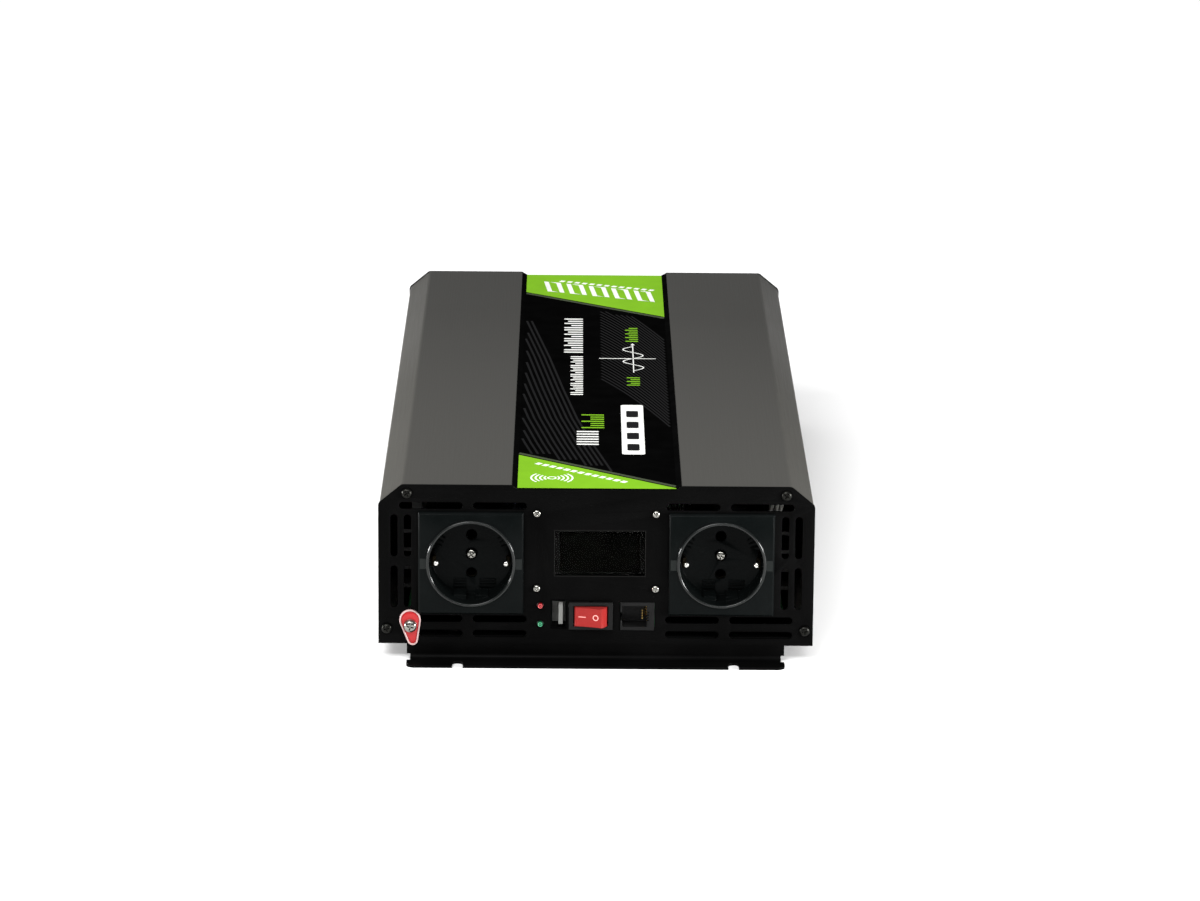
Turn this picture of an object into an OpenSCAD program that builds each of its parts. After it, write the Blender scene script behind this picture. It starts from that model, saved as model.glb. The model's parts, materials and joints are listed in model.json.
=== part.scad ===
// Power inverter: a low, wide case of extruded aluminium held between two bent sheet-steel
// end panels, with two earthed outlets, a display and controls in front, and fans and
// battery studs behind. Outlines are drawn as width and height and extruded along the depth.

/* [Case] */
// Width of the extruded cover
cover_w = 206; // [200:1:260]
// Length between the outer faces of the two end panels
case_l = 450; // [375:5:560]
// Height of the case from its underside to its top
case_h = 78.4; // [77:0.2:100]
// Height of the underside above the surface that the feet stand on
foot_lift = 8.2; // [6:0.2:12]
// Wall of the cover
wall = 2.2; // [1.8:0.1:2.6]
// Width of the sloping shoulder
shoulder_w = 11; // [9:0.5:13]
// Height of the sloping shoulder
shoulder_h = 9.1; // [8:0.1:11]
// Rounding of the shoulder's edges
shoulder_r = 3; // [1:0.5:4]
// Width of the label channel at its mouth
channel_w = 80.6; // [60:0.2:100]
// Width of each sloping side of the channel
channel_slope = 2.5; // [1:0.1:4]
// Depth of the label channel
channel_d = 2; // [1.5:0.1:3]
// Thickness of the label plate
label_t = 0.5; // [0.3:0.1:0.8]
// Height of one groove in the cover's sides
groove_h = 3; // [2:0.5:4]
// Depth of one groove
groove_d = 0.8; // [0.5:0.1:1]
// Distance from one groove to the next
groove_pitch = 8; // [6:0.5:9]
// Grooves in each side
groove_n = 6; // [4:1:7]
// Thickness of the base plate
base_t = 2; // [1.5:0.1:2.4]
// Thickness of the lip that carries the base plate
lip_t = 1.8; // [1.2:0.1:2.2]
// Width of that lip
lip_w = 5; // [3:0.5:8]

/* [End panels] */
// Thickness of the panel sheet
sheet = 1.2; // [1:0.1:1.6]
// How far a panel stands past each side of the cover
panel_lip = 0.5; // [0.2:0.1:1]
// Width of the foot
foot_w = 180; // [150:1:190]
// Length of the foot from the panel's outer face
foot_l = 12.8; // [11:0.2:20]
// Inside radius of the bend
bend_r = 2; // [1:0.5:3]
// Rounding of the foot's corners
foot_r = 4; // [1:0.5:6]
// Width of the relief notch at each end of the bend
relief_w = 1.6; // [1:0.1:2.5]
// Distance between the two fixing slots of a foot
foot_slot_pitch = 131.2; // [100:0.2:140]
// Width of a fixing slot
foot_slot_w = 5.1; // [4:0.1:7]
// Length of a fixing slot from the foot's edge to its round end
foot_slot_l = 7.1; // [5:0.1:8]
// Distance of the upper corner screws from the cover's side
port_top_in = 13.1; // [12:0.1:15]
// Distance of the upper corner screws below the top
port_top_drop = 4.1; // [3.8:0.1:5]
// Distance of the lower corner screws from the cover's side
port_low_in = 3.45; // [3.2:0.05:4]
// Height of the lower corner screws above the underside
port_low_rise = 7.5; // [7.2:0.1:9]
// Outer diameter of a screw port
port_d = 6.4; // [5.6:0.1:6.4]
// Diameter of the corner screws
corner_screw_d = 2.9; // [2.5:0.1:3.5]
// Depth of the corner screws
corner_screw_l = 12; // [8:1:20]

/* [Vents] */
// Width of every vent slot
vent_w = 3.5; // [2.5:0.1:3.6]
// Start and end of an inner level slot, from the middle of the panel
vent_inner = [33, 58.6]; // [30:0.1:95]
// Start and end of an outer level slot, from the middle of the panel
vent_outer = [63.5, 93.6]; // [30:0.1:95]
// Distance of the top row's centre below the top
vent_top_drop = 10.2; // [10:0.1:11]
// Heights of the two lower rows above the underside
vent_low_rise = [5.1, 12.4]; // [5:0.1:13]
// Distances of the two upright columns from the panel's side
vent_side_in = [7.5, 13.9]; // [7:0.1:14]
// Ends of the upper upright slots, above the underside
vent_high = [43, 63.8]; // [42:0.1:64]
// Ends of the lower upright slots, above the underside
vent_mid = [17.9, 38.6]; // [17:0.1:39]

/* [Sockets] */
// Distance of each outlet from the middle of the panel
socket_x = 59.5; // [59.5:0.1:60.5]
// Height of the outlets above the underside
socket_rise = 40.5; // [40.5:0.1:42]
// Width of the square face plate's border around the tube of the well
plate_border = 3.25; // [2.5:0.05:3.5]
// Thickness of the face plate
plate_t = 3; // [2:0.1:4]
// Bevel of the plate's front edges
plate_bevel = 0.8; // [0.4:0.1:1.2]
// Diameter of the well
well_d = 39.5; // [38.5:0.1:40]
// Wall of the well
well_wall = 2; // [1.5:0.1:2.5]
// Depth of the well from the plate's front
well_depth = 17.5; // [15:0.5:19]
// Thickness of the well's floor
floor_t = 3.5; // [2.5:0.1:5]
// Width of the raised rim around the well
rim_w = 1.6; // [1:0.1:2]
// Distance between the two pins
pin_pitch = 19; // [18:0.5:20]
// Diameter of the pin holes
pin_hole_d = 5.2; // [5:0.1:5.6]
// How far the body behind the panel stands out around the tube of the well
socket_ledge = 2.25; // [1.5:0.05:2.5]
// Depth of the body behind the panel
socket_base_l = 34; // [30:0.5:38]
// Diameter of the centre screw
centre_screw_d = 3.4; // [3:0.1:4]
// Thickness of the earth strap
strap_t = 0.8; // [0.6:0.1:1]
// Width of the earth strap
strap_w = 4.5; // [4:0.1:5]
// Inside diameter of a pin sleeve
sleeve_id = 4.9; // [4.8:0.1:5]
// Outside diameter of a pin sleeve
sleeve_od = 6.6; // [6:0.1:7]

/* [Display] */
// Width of the window opening
window_w = 42.9; // [36:0.1:46]
// Height of the window opening
window_h = 22.2; // [18:0.1:26]
// Shift of the window to the right of the middle
window_shift = 1.75; // [-3:0.05:3]
// Height of the window's centre above the underside
window_rise = 45.2; // [44:0.1:48]
// Thickness of the clear window
window_t = 1.5; // [1:0.1:2]
// Side-to-side distance between the display screws
display_pitch_x = 56.5; // [54:0.5:58]
// Up-and-down distance between the display screws
display_pitch_z = 37; // [34:0.5:38]
// Height of the display board's centre above the underside
display_rise = 46.3; // [45:0.1:47]
// Distance from the panel to the display board
display_gap = 6.8; // [6:0.1:8]
// Thickness of every circuit board
board_t = 1.6; // [1:0.1:2]
// Diameter of the display screws
display_screw_d = 2.4; // [2:0.1:2.6]

/* [Controls] */
// Place of the red lamp: from the middle, and above the underside
red_lamp = [-26.5, 19.3]; // [-27:0.1:20]
// Place of the green lamp
green_lamp = [-26.5, 10.2]; // [-27:0.1:20]
// Diameter of a lamp
lamp_d = 3; // [3:0.5:5]
// Centre of the USB socket
usb_at = [-17.65, 15]; // [-18:0.05:16]
// Width and height of the USB shell
usb_size = [7.1, 14]; // [6:0.1:15]
// Centre of the phone jack
jack_at = [19.75, 14.15]; // [14:0.05:20]
// Width and height of the phone jack
jack_size = [16.3, 13.9]; // [13:0.1:17]
// Width and height of the jack's mouth
jack_mouth = [11.7, 10.4]; // [10:0.1:12]
// Depth of the jack's mouth
jack_depth = 10.5; // [9:0.5:11]
// Depth from the panel's front to the control board
control_depth = 12.9; // [12:0.1:16]

/* [Rocker switch] */
// Centre of the switch
switch_at = [-2.4, 14.6]; // [-3:0.05:15]
// Width and height of the bezel
bezel_size = [20.9, 13.4]; // [13:0.1:22]
// How far the bezel stands out
bezel_t = 2; // [1.5:0.1:3]
// Width and height of the switch body
switch_size = [18.9, 12.5]; // [12:0.1:20]
// Half the length of the rocker at its pivot
rocker_r = 8; // [7:0.1:8.1]
// Width of the rocker along its pivot
rocker_w = 9.4; // [8:0.1:10]
// Height of the rocker's ends above its pivot
rocker_top = 4.7; // [4:0.1:5]
// Dip in the middle of the rocker's face
rocker_dip = 0.3; // [0:0.1:1]
// Whole angle that the rocker tips through
rocker_travel = 28; // [16:1:30]
// Diameter of the rocker's pivot pins
rocker_pin_d = 2.4; // [2:0.1:3]
// Angle that the contact lever tips through
lever_travel = 14; // [8:1:16]

/* [Earth point] */
// Place of the earth screw: from the middle, and above the underside
earth_at = [-88.3, 9.2]; // [-89:0.1:10]
// Centre of the tag's round end, from the screw
tag_round = [-0.1, 2.7]; // [-1:0.1:3]
// Radius of the tag's round end
tag_r = 5.1; // [4.5:0.1:6]
// Centre of the tag's tip, from the screw
tag_tip = [1.1, -7.2]; // [-8:0.1:2]
// Radius of the tag's tip
tag_tip_r = 2.5; // [2:0.1:3.5]
// Thickness of the tag
tag_t = 0.8; // [0.6:0.1:1.2]
// Width of the tag's raised rim
tag_rim_w = 0.7; // [0.5:0.1:1]
// Height of the tag's raised rim
tag_rim_h = 0.6; // [0.3:0.1:1]
// Diameter of the earth screw
earth_screw_d = 4; // [3:0.5:4]

/* [Fans] */
// Side of a fan frame
fan_w = 60; // [50:1:60]
// Depth of a fan frame
fan_t = 20; // [15:1:25]
// Distance of a fan's screw holes from its sides
fan_hole_in = 5; // [4:0.5:6]
// Least wall of the frame around the fan's duct
duct_wall = 1.5; // [1:0.1:2.5]
// Distance of each fan from the middle
fan_x = 62; // [62:0.5:66]
// Height of the fans' centre above the underside
fan_rise = 39.3; // [39:0.1:42]
// Diameter of the rotor's hub
hub_d = 30; // [24:1:32]
// Gap between the blades' tips and the duct
tip_gap = 1.25; // [1:0.05:2.5]
// Blades on each rotor
blade_n = 7; // [5:1:9]
// Pitch angle of a blade
blade_angle = 40; // [30:1:50]
// Diameter of a fan's shaft
fan_shaft_d = 3; // [2:0.1:4]
// Diameter of the guard wire
guard_wire = 1.6; // [1.2:0.1:2]

/* [Battery studs] */
// Distance of each stud from the middle
stud_x = 17; // [15:0.5:19]
// Diameter of a stud
stud_d = 8; // [6:0.5:10]
// How far a stud reaches behind the rear panel
stud_out = 28; // [25:0.5:34]
// Diameter of a stud's insulator
insulator_d = 25; // [20:0.5:28]
// Thickness of the insulator outside
insulator_t = 6; // [4:0.5:8]
// Diameter of the insulator's neck through the panel
neck_d = 12; // [11:0.5:14]
// Thickness of the inside bush
bush_t = 3; // [2:0.5:4]
// Thickness of a washer
washer_t = 1.6; // [1.2:0.1:2]
// Thickness of a nut
nut_t = 6.5; // [5:0.1:7]
// Thickness of a bus bar
bar_t = 2; // [1.5:0.1:3]
// Width of a bus bar
bar_w = 16; // [13:0.5:18]

/* [Inside] */
// Width of the main board
board_w = 180; // [160:1:184]
// Height of the board spacers
spacer_h = 6; // [5:0.5:7]
// Thickness of a heat sink's back
sink_t = 5; // [4:0.5:6]
// Height of a heat sink
sink_h = 52; // [45:1:54]
// Length of a heat sink's fins
fin_l = 6; // [4:0.5:6.5]
// Power transistors on each heat sink
transistor_n = 6; // [4:1:6]
// Width, depth and height of a transformer core
core_size = [56, 22, 52]; // [20:1:56]
// Size of a transformer's winding
winding_size = [38, 42, 33]; // [30:1:44]
// Diameter and height of a high-voltage capacitor
bus_cap = [30, 45]; // [25:1:50]
// Diameter and height of an input capacitor
input_cap = [18, 36]; // [14:1:40]
// Outer and inner diameter and thickness of the output choke
choke = [54, 26, 24]; // [20:1:54]
// Diameter of the outlet leads
lead_d = 3; // [2:0.1:3.4]
// Diameter of the fan leads
fan_lead_d = 2; // [1.5:0.1:2.5]

/* [Fits] */
// Gap around a piece that slides or drops into another
slide_gap = 0.15; // [0.1:0.05:0.3]
// Gap between pieces that move past each other
move_gap = 0.3; // [0.3:0.05:0.4]
// Radial clearance of a shaft or a screw in its hole
bore_gap = 0.05; // [0.03:0.01:0.08]

/* [Hidden] */
$fn = 48;

// Main levels and planes
base_z = foot_lift;
top_z = base_z + case_h;
rear_out = max(foot_l, stud_out);
front_y = -(case_l + rear_out - foot_l) / 2;
rear_y = front_y + case_l;
cover_l = case_l - 2 * sheet;
panel_w = cover_w + 2 * panel_lip;
plate_bottom_z = base_z + lip_t;
deck_z = plate_bottom_z + base_t;
board_z = deck_z + spacer_h;
board_top = board_z + board_t;
port_top = [cover_w / 2 - port_top_in, top_z - port_top_drop];
port_low = [cover_w / 2 - port_low_in, base_z + port_low_rise];
socket_z = base_z + socket_rise;
window_z = base_z + window_rise;
display_z = base_z + display_rise;
fan_z = base_z + fan_rise;
stud_z = fan_z;
through = 60;

// Outlets: depths measured inwards from the panel's outer face
tube_d = well_d + 2 * well_wall;
plate_w = tube_d + 2 * plate_border;
socket_base_d = tube_d + 2 * socket_ledge;
well_floor = well_depth - plate_t;
face_back = well_floor + floor_t;
strap_back = face_back + strap_t;
base_back = sheet + socket_base_l;
arm_x = well_d / 2 - strap_t / 2 - 0.7;
sleeve_tail = 6;
sleeve_tail_d = 4;
rib_w = 6;
rib_gap = 4.4;
rib_h = 5;
rib_l = 11;
sleeve_back = base_back + 1;
earth_tab_x = 12;
earth_tab_back = base_back + 3;

// Display: the window and the glass behind it overlap the panel's opening
window_lap = 2;
glass_lap = [1.5, 2.5];
display_board_border = 4;
display_spacer_d = display_screw_d + 2.2;
display_screw_end = 1.5;

// Control row
control_x = [-33, 32];
control_board_rise = 1;
control_board_h = 19;
control_notch = [16, 8];
lamp_l = 4.5;
lamp_rim = [0.4, 1];
lamp_leg_d = 0.5;
lamp_leg_x = 0.9;
usb_wall = 0.4;
usb_proud = 0.3;
usb_base_y = 10.5;
tongue_size = [2, 11];
tongue_shift = 0.9;
tongue_y = 2;
jack_proud = 0.4;
jack_mouth_shift = -1.4;
latch_slot = [1.5, 4];
latch_slot_shift = -7.4;
contact_slot = [1.2, 0.6];
contact_shift = 4.9;
contact_pitch = 1.3;
contact_t = 0.4;
contact_w = 0.5;

// Main board
board_front = control_depth + board_t;
fan_back = sheet + fan_t;
board_rear_gap = 4;
board_l = case_l - board_front - fan_back - board_rear_gap;
lead_y = base_back + 11;

// Rocker, measured from the switch's centre and the panel's outer face
pivot_y = 0.5;
plunger_r = 7;
plunger_d = 2;
lever_t = 0.6;
lever_w = 4.5;
lever_pin_d = 1.2;
lever_pin_l = 1.2;
lever_y = pivot_y + plunger_r + plunger_d / 2 + move_gap + 0.05 + lever_t / 2;
lever_l = 11;
switch_back = 12.6;
switch_floor = 1.2;
rocker_skirt = 3;
plunger_start = 2.5;
terminal_t = 0.8;
terminal_w = 4.8;
terminal_l = 10.5;
side_terminal_x = -5.5;
side_terminal_l = 9;

// Earth point
earth_washer_d = 6.4;
earth_washer_t = 0.8;
earth_head_d = 5.6;
earth_screw_l = 9.5;
earth_nut = [6.4, 3.2];

// Fans
fan_pitch = fan_w - 2 * fan_hole_in;
duct_d = fan_w - 2 * duct_wall;
rotor_d = duct_d - 2 * tip_gap;
fan_hole_d = 4.3;
fan_screw_d = 4;
fan_screw_l = 14;
fan_head_d = 6.8;
fan_spoke_w = 3;
bearing_d = 8;
bearing_l = 12;
cup_wall = 1.5;
cup_floor = 2;
cup_y = sheet + 1.5;
blade_t = 1.4;
blade_l = 26;
hub_wall_t = 2.5;
guard_rings = [16, 28, 40, 52];
guard_spoke_in = 7;
guard_eye_d = 5.8;

// Battery side, measured inwards from the rear panel's outer face
bar_y = sheet + bush_t;
bar_foot = 45;
head_t = 5.3;
nut_af = stud_d * 1.625;
bush_border = 5;

// Parts on the main board
spacer_x = 70;
spacer_share = [0.1, 0.5, 0.93];
spacer_d = 6;
board_screw_d = 2.9;
board_head = [5.4, 1.8];
sink_start = base_back + 13;
sink_l = case_l - sink_start - fan_back - 12;
sink_inner = board_w / 2 - 6;
fin_n = 6;
fin_t = 1.8;
fin_rise = 2;
transistor = [5, 16, 21];
transistor_rise = 12;
transistor_in = 20;
transistor_pitch = (sink_l - 2 * transistor_in) / (transistor_n - 1);
leg = [0.7, 1.2];
leg_pitch = 5.4;
transformer_x = 31;
transformer_gap = 14;
transformer_y = [case_l * 0.44, case_l * 0.44 + winding_size[1] + transformer_gap];
core_leg_w = 18;
core_yoke = 9;
bus_cap_x = 40;
bus_cap_y = case_l * 0.27;
input_cap_y = case_l - fan_back - 55;
input_cap_gap = 3;
cap_rim = [1.5, 1];
choke_at = [42, lead_y + 16];
fuse = [5, 19, 12];
fuse_pitch = 15;
fuse_rise = 6;
fuse_y = input_cap_y - 45;
blade = [1, 5, 6.5];
blade_places = [1, 13];

// Leads
pin_lead_x = 6;
pin_lead_drop = 4;
fan_lead_x = 1.5;
fan_lead_bend = [2.5, 8];
fan_lead_drop = 8;

// Pan-head proportions
function head_d(d) = d * 1.75;
function head_h(d) = d * 0.6;

// Plane geometry for outlines that run anticlockwise
function unit(v) = v / norm(v);
function half_angle(a, b, c) = acos(unit(a - b) * unit(c - b)) / 2;
function bisector(a, b, c) = unit(unit(a - b) + unit(c - b));
function before(p, i) = p[(i + len(p) - 1) % len(p)];
function after(p, i) = p[(i + 1) % len(p)];
function left_of(v) = [-v[1], v[0]] / norm(v);
function mitre(a, b, c, t) =
    let (m = unit(left_of(b - a) + left_of(c - b))) b + m * t / (m * left_of(b - a));
function inset(p, t) = [for (i = [0:len(p) - 1]) mitre(before(p, i), p[i], after(p, i), t)];
function fillet(a, b, c, r, n = 6) =
    r <= 0 ? [b] :
    let (
        h = half_angle(a, b, c),
        m = b + bisector(a, b, c) * r / sin(h),
        s = b + unit(a - b) * r / tan(h) - m,
        e = b + unit(c - b) * r / tan(h) - m,
        first = atan2(s[1], s[0]),
        turn = atan2(e[1], e[0]) - first,
        sweep = turn > 180 ? turn - 360 : turn < -180 ? turn + 360 : turn
    )
    [for (i = [0:n]) m + r * polar(first + sweep * i / n)];
function rounded(p, r) = [for (i = [0:len(p) - 1]) each fillet(before(p, i), p[i], after(p, i), r[i])];
function both_sides(p) = concat(p, [for (i = [len(p) - 1:-1:0]) [-p[i][0], p[i][1]]]);
function backwards(v) = [for (i = [len(v) - 1:-1:0]) v[i]];
function there_and_back(v) = concat(v, backwards(v));

// One side of an open path, t to its left
function beside(p, t) = [for (i = [0:len(p) - 1])
    i == 0 ? p[i] + t * left_of(p[i + 1] - p[i]) :
    i == len(p) - 1 ? p[i] + t * left_of(p[i] - p[i - 1]) :
    mitre(p[i - 1], p[i], p[i + 1], t)];

// The case's end-on outline, for any width and underside height
function case_outline(w, z) = both_sides([
    [w / 2, z],
    [w / 2, top_z - shoulder_h],
    [w / 2 - shoulder_w, top_z],
    [channel_w / 2, top_z],
    [channel_w / 2 - channel_slope, top_z - channel_d]
]);
outline_radii = there_and_back([0, shoulder_r, shoulder_r, 1, 0.2]);

// Placing: the front and rear frames have y = 0 at a panel's outer face and +y inwards
module at_front() translate([0, front_y, 0]) children();
module at_rear() translate([0, rear_y, 0]) mirror([0, 1, 0]) children();

// Building blocks that run along the depth
module prism(y, l) translate([0, y + l, 0]) rotate([90, 0, 0]) linear_extrude(height = l) children();
module rod(at, y, d, l) translate([at[0], y + l, at[1]]) rotate([90, 0, 0]) cylinder(d = d, h = l);
module block(at, y, w, l, h) translate([at[0] - w / 2, y, at[1] - h / 2]) cube([w, l, h]);
module ring(at, y, d, wire) translate([at[0], y, at[1]]) rotate([90, 0, 0])
    rotate_extrude() translate([d / 2, 0]) circle(d = wire, $fn = 24);
module hex(at, y, af, l) translate([at[0], y + l, at[1]]) rotate([90, 0, 0])
    cylinder(d = af / cos(30), h = l, $fn = 6);

// Round-ended slots as outlines
module level_slot(from, to, z, w) {
    translate([from + w / 2, z - w / 2]) square([to - from - w, w]);
    for (x = [from + w / 2, to - w / 2]) translate([x, z]) circle(d = w);
}
module upright_slot(x, from, to, w) {
    translate([x - w / 2, from + w / 2]) square([w, to - from - w]);
    for (z = [from + w / 2, to - w / 2]) translate([x, z]) circle(d = w);
}

// A pan-head screw that enters along +y, its head's underside at y
module pan_screw(at, y, d, l, wide = 0) {
    cap = wide > 0 ? wide : head_d(d);
    difference() {
        union() {
            rod(at, y, d, l);
            rod(at, y - head_h(d) * 0.55, cap, head_h(d) * 0.55);
            rod(at, y - head_h(d), cap * 0.8, head_h(d) * 0.5);
        }
        for (turn = [0, 90]) translate([at[0], y, at[1]]) rotate([0, turn, 0])
            block([0, 0], -head_h(d) - 1, cap * 0.55, 1 + head_h(d) * 0.6, cap * 0.13);
    }
}

// A round wire through points, with a ball at every bend
module wire(points, d) {
    for (i = [0:len(points) - 2]) {
        a = points[i];
        v = points[i + 1] - a;
        translate(a) rotate([0, acos(v[2] / norm(v)), atan2(v[1], v[0])])
            cylinder(d = d, h = norm(v), $fn = 32);
    }
    for (i = [1:1:len(points) - 2]) translate(points[i]) sphere(d = 1.08 * d, $fn = 32);
}

// A flat strip bent through points of width and depth, w high
module strip(points, t, w) translate([0, 0, -w / 2]) linear_extrude(height = w)
    polygon(concat(beside(points, t / 2), backwards(beside(points, -t / 2))));

// ---- Enclosure ----

module top_cover() color("dimgray") difference() {
    union() {
        prism(front_y + sheet, cover_l) difference() {
            polygon(rounded(case_outline(cover_w, base_z), outline_radii));
            polygon(inset(case_outline(cover_w, base_z - 2 * wall), wall));
        }
        prism(front_y + sheet, cover_l) for (side = [-1, 1]) {
            translate([side * port_top[0], port_top[1]]) circle(d = port_d);
            translate([side * port_low[0], port_low[1]]) circle(d = port_d);
            translate([side * (cover_w / 2 - wall - lip_w / 2) - lip_w / 2 - 0.01, base_z])
                square([lip_w + 0.02, lip_t]);
        }
    }
    for (side = [-1, 1]) {
        for (at = [port_top, port_low])
            rod([side * at[0], at[1]], front_y, corner_screw_d + 2 * bore_gap, case_l);
        for (i = [0:groove_n - 1])
            block([side * cover_w / 2, socket_z + (i - (groove_n - 1) / 2) * groove_pitch], front_y,
                  2 * groove_d, case_l, groove_h);
    }
}

module base_plate() color("darkgray")
    translate([-cover_w / 2 + wall + slide_gap, front_y + sheet, plate_bottom_z])
        cube([cover_w - 2 * (wall + slide_gap), cover_l, base_t]);

// Panel sheet with its foot, outer face at y = 0, body inwards
module panel_blank() {
    prism(0, sheet) {
        polygon(rounded(case_outline(panel_w, base_z), outline_radii));
        translate([-foot_w / 2, sheet + bend_r]) square([foot_w, base_z - bend_r]);
    }
    translate([-foot_w / 2 + relief_w, -bend_r, sheet + bend_r]) rotate([0, 90, 0])
        linear_extrude(height = foot_w - 2 * relief_w) difference() {
            intersection() {
                circle(r = bend_r + sheet);
                square(bend_r + sheet);
            }
            circle(r = bend_r);
        }
    linear_extrude(height = sheet) difference() {
        union() {
            translate([-foot_w / 2 + relief_w, -foot_l / 2])
                square([foot_w - 2 * relief_w, foot_l / 2 - bend_r]);
            translate([-foot_w / 2, -foot_l + foot_r]) square([foot_w, foot_l - foot_r - bend_r - relief_w]);
            translate([-foot_w / 2 + foot_r, -foot_l]) square([foot_w - 2 * foot_r, foot_r]);
            for (side = [-1, 1])
                translate([side * (foot_w / 2 - foot_r), -foot_l + foot_r]) circle(r = foot_r);
        }
        for (side = [-1, 1]) {
            translate([side * foot_slot_pitch / 2, -foot_l + foot_slot_l - foot_slot_w / 2])
                circle(d = foot_slot_w);
            translate([side * foot_slot_pitch / 2 - foot_slot_w / 2, -foot_l - 1])
                square([foot_slot_w, 1 + foot_slot_l - foot_slot_w / 2]);
        }
    }
}

module corner_holes() for (side = [-1, 1]) for (at = [port_top, port_low])
    translate([side * at[0], at[1]]) circle(d = corner_screw_d + 4 * bore_gap);

module front_vents() {
    for (side = [-1, 1]) {
        mirror([side < 0 ? 1 : 0, 0]) {
            level_slot(vent_inner[0], vent_inner[1], top_z - vent_top_drop, vent_w);
            level_slot(vent_outer[0], vent_outer[1], top_z - vent_top_drop, vent_w);
            for (rise = vent_low_rise) {
                level_slot(vent_inner[0], vent_inner[1], base_z + rise, vent_w);
                // On the earth side the outer slots stop short of the earth screw
                level_slot(vent_outer[0], side > 0 ? vent_outer[1] : -earth_at[0] - earth_screw_d,
                           base_z + rise, vent_w);
            }
            for (in = vent_side_in) for (ends = [vent_mid, vent_high])
                upright_slot(panel_w / 2 - in, base_z + ends[0], base_z + ends[1], vent_w);
        }
    }
}

module front_openings() {
    for (side = [-1, 1]) translate([side * socket_x, socket_z]) circle(d = tube_d + 2 * slide_gap);
    translate([window_shift - window_w / 2, window_z - window_h / 2]) square([window_w, window_h]);
    for (at = display_corners()) translate(at) circle(d = display_screw_d + 2 * slide_gap);
    for (lamp = [red_lamp, green_lamp]) translate(lifted(lamp)) circle(d = lamp_d + 2 * slide_gap);
    framed(usb_at, usb_size, slide_gap);
    framed(jack_at, jack_size, slide_gap);
    framed(switch_at, switch_size, slide_gap);
    translate(lifted(earth_at)) circle(d = earth_screw_d + 4 * bore_gap);
}

function lifted(at) = [at[0], base_z + at[1]];
function display_corners() = [for (x = [-1, 1]) for (z = [-1, 1])
    [x * display_pitch_x / 2, display_z + z * display_pitch_z / 2]];
module framed(at, size, gap) translate(lifted(at) - size / 2 - [gap, gap]) square(size + 2 * [gap, gap]);

module front_panel() color([0.08, 0.08, 0.08]) at_front() difference() {
    panel_blank();
    prism(-1, sheet + 2) {
        corner_holes();
        front_vents();
        front_openings();
    }
}

module rear_panel() color([0.08, 0.08, 0.08]) at_rear() difference() {
    panel_blank();
    prism(-1, sheet + 2) {
        corner_holes();
        for (side = [-1, 1]) {
            translate([side * fan_x, fan_z]) circle(d = duct_d - 1);
            translate([side * stud_x, stud_z]) circle(d = neck_d + 2 * slide_gap);
            for (at = fan_corners(side)) translate(at) circle(d = fan_hole_d + 2 * bore_gap);
        }
    }
}

module top_label() color("yellowgreen")
    translate([-channel_w / 2 + channel_slope + slide_gap, front_y + sheet, top_z - channel_d])
        cube([channel_w - 2 * (channel_slope + slide_gap), cover_l, label_t]);

module panel_screws() color([0.2, 0.2, 0.2]) {
    at_front() corner_set();
    at_rear() corner_set();
}
module corner_set() for (side = [-1, 1]) for (at = [port_top, port_low])
    pan_screw([side * at[0], at[1]], 0, corner_screw_d, corner_screw_l);

// ---- Outlets ----

// Plate with bevelled front edges
module bevelled_plate() difference() {
    block([0, 0], -plate_t, plate_w, plate_t, plate_w);
    for (turn = [0:90:270]) rotate([0, turn, 0]) translate([0, -plate_t, plate_w / 2]) rotate([45, 0, 0])
        cube([plate_w + 2, plate_bevel * sqrt(2), plate_bevel * sqrt(2)], center = true);
}

module guide_ribs() intersection() {
    rod([0, 0], well_floor - rib_l, well_d + 0.4, rib_l);
    for (x = [-1, 1]) for (z = [-1, 1])
        block([x * (rib_gap + rib_w) / 2, z * well_d / 2], well_floor - rib_l, rib_w, rib_l, rib_h);
}

module socket_face() color([0.1, 0.11, 0.11]) {
    difference() {
        union() {
            bevelled_plate();
            ring([0, 0], -plate_t, well_d + rim_w, rim_w);
            rod([0, 0], -0.1, tube_d, face_back + 0.1);
        }
        rod([0, 0], -plate_t - 2, well_d, well_depth + 2);
        rod([0, 0], 0, centre_screw_d + 2 * bore_gap, face_back + 1);
        for (z = [-1, 1]) rod([0, z * pin_pitch / 2], 0, pin_hole_d, face_back + 1);
        for (x = [-1, 1])
            block([x * arm_x, 0], well_floor - 1, 2 * strap_t, floor_t + 2, strap_w + 2 * move_gap);
    }
    guide_ribs();
}

module socket_base() color("dimgray") difference() {
    rod([0, 0], sheet, socket_base_d, socket_base_l);
    rod([0, 0], sheet - 1, tube_d + 2 * slide_gap, strap_back - sheet + 1);
    rod([0, 0], sheet, centre_screw_d + 2 * bore_gap, base_back - sheet - 4);
    for (z = [-1, 1]) rod([0, z * pin_pitch / 2], sheet, sleeve_od + 2 * bore_gap, socket_base_l + 1);
    block([earth_tab_x, 0], sheet, strap_t + 2 * slide_gap, socket_base_l + 1, strap_w + 2 * slide_gap);
}

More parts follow.
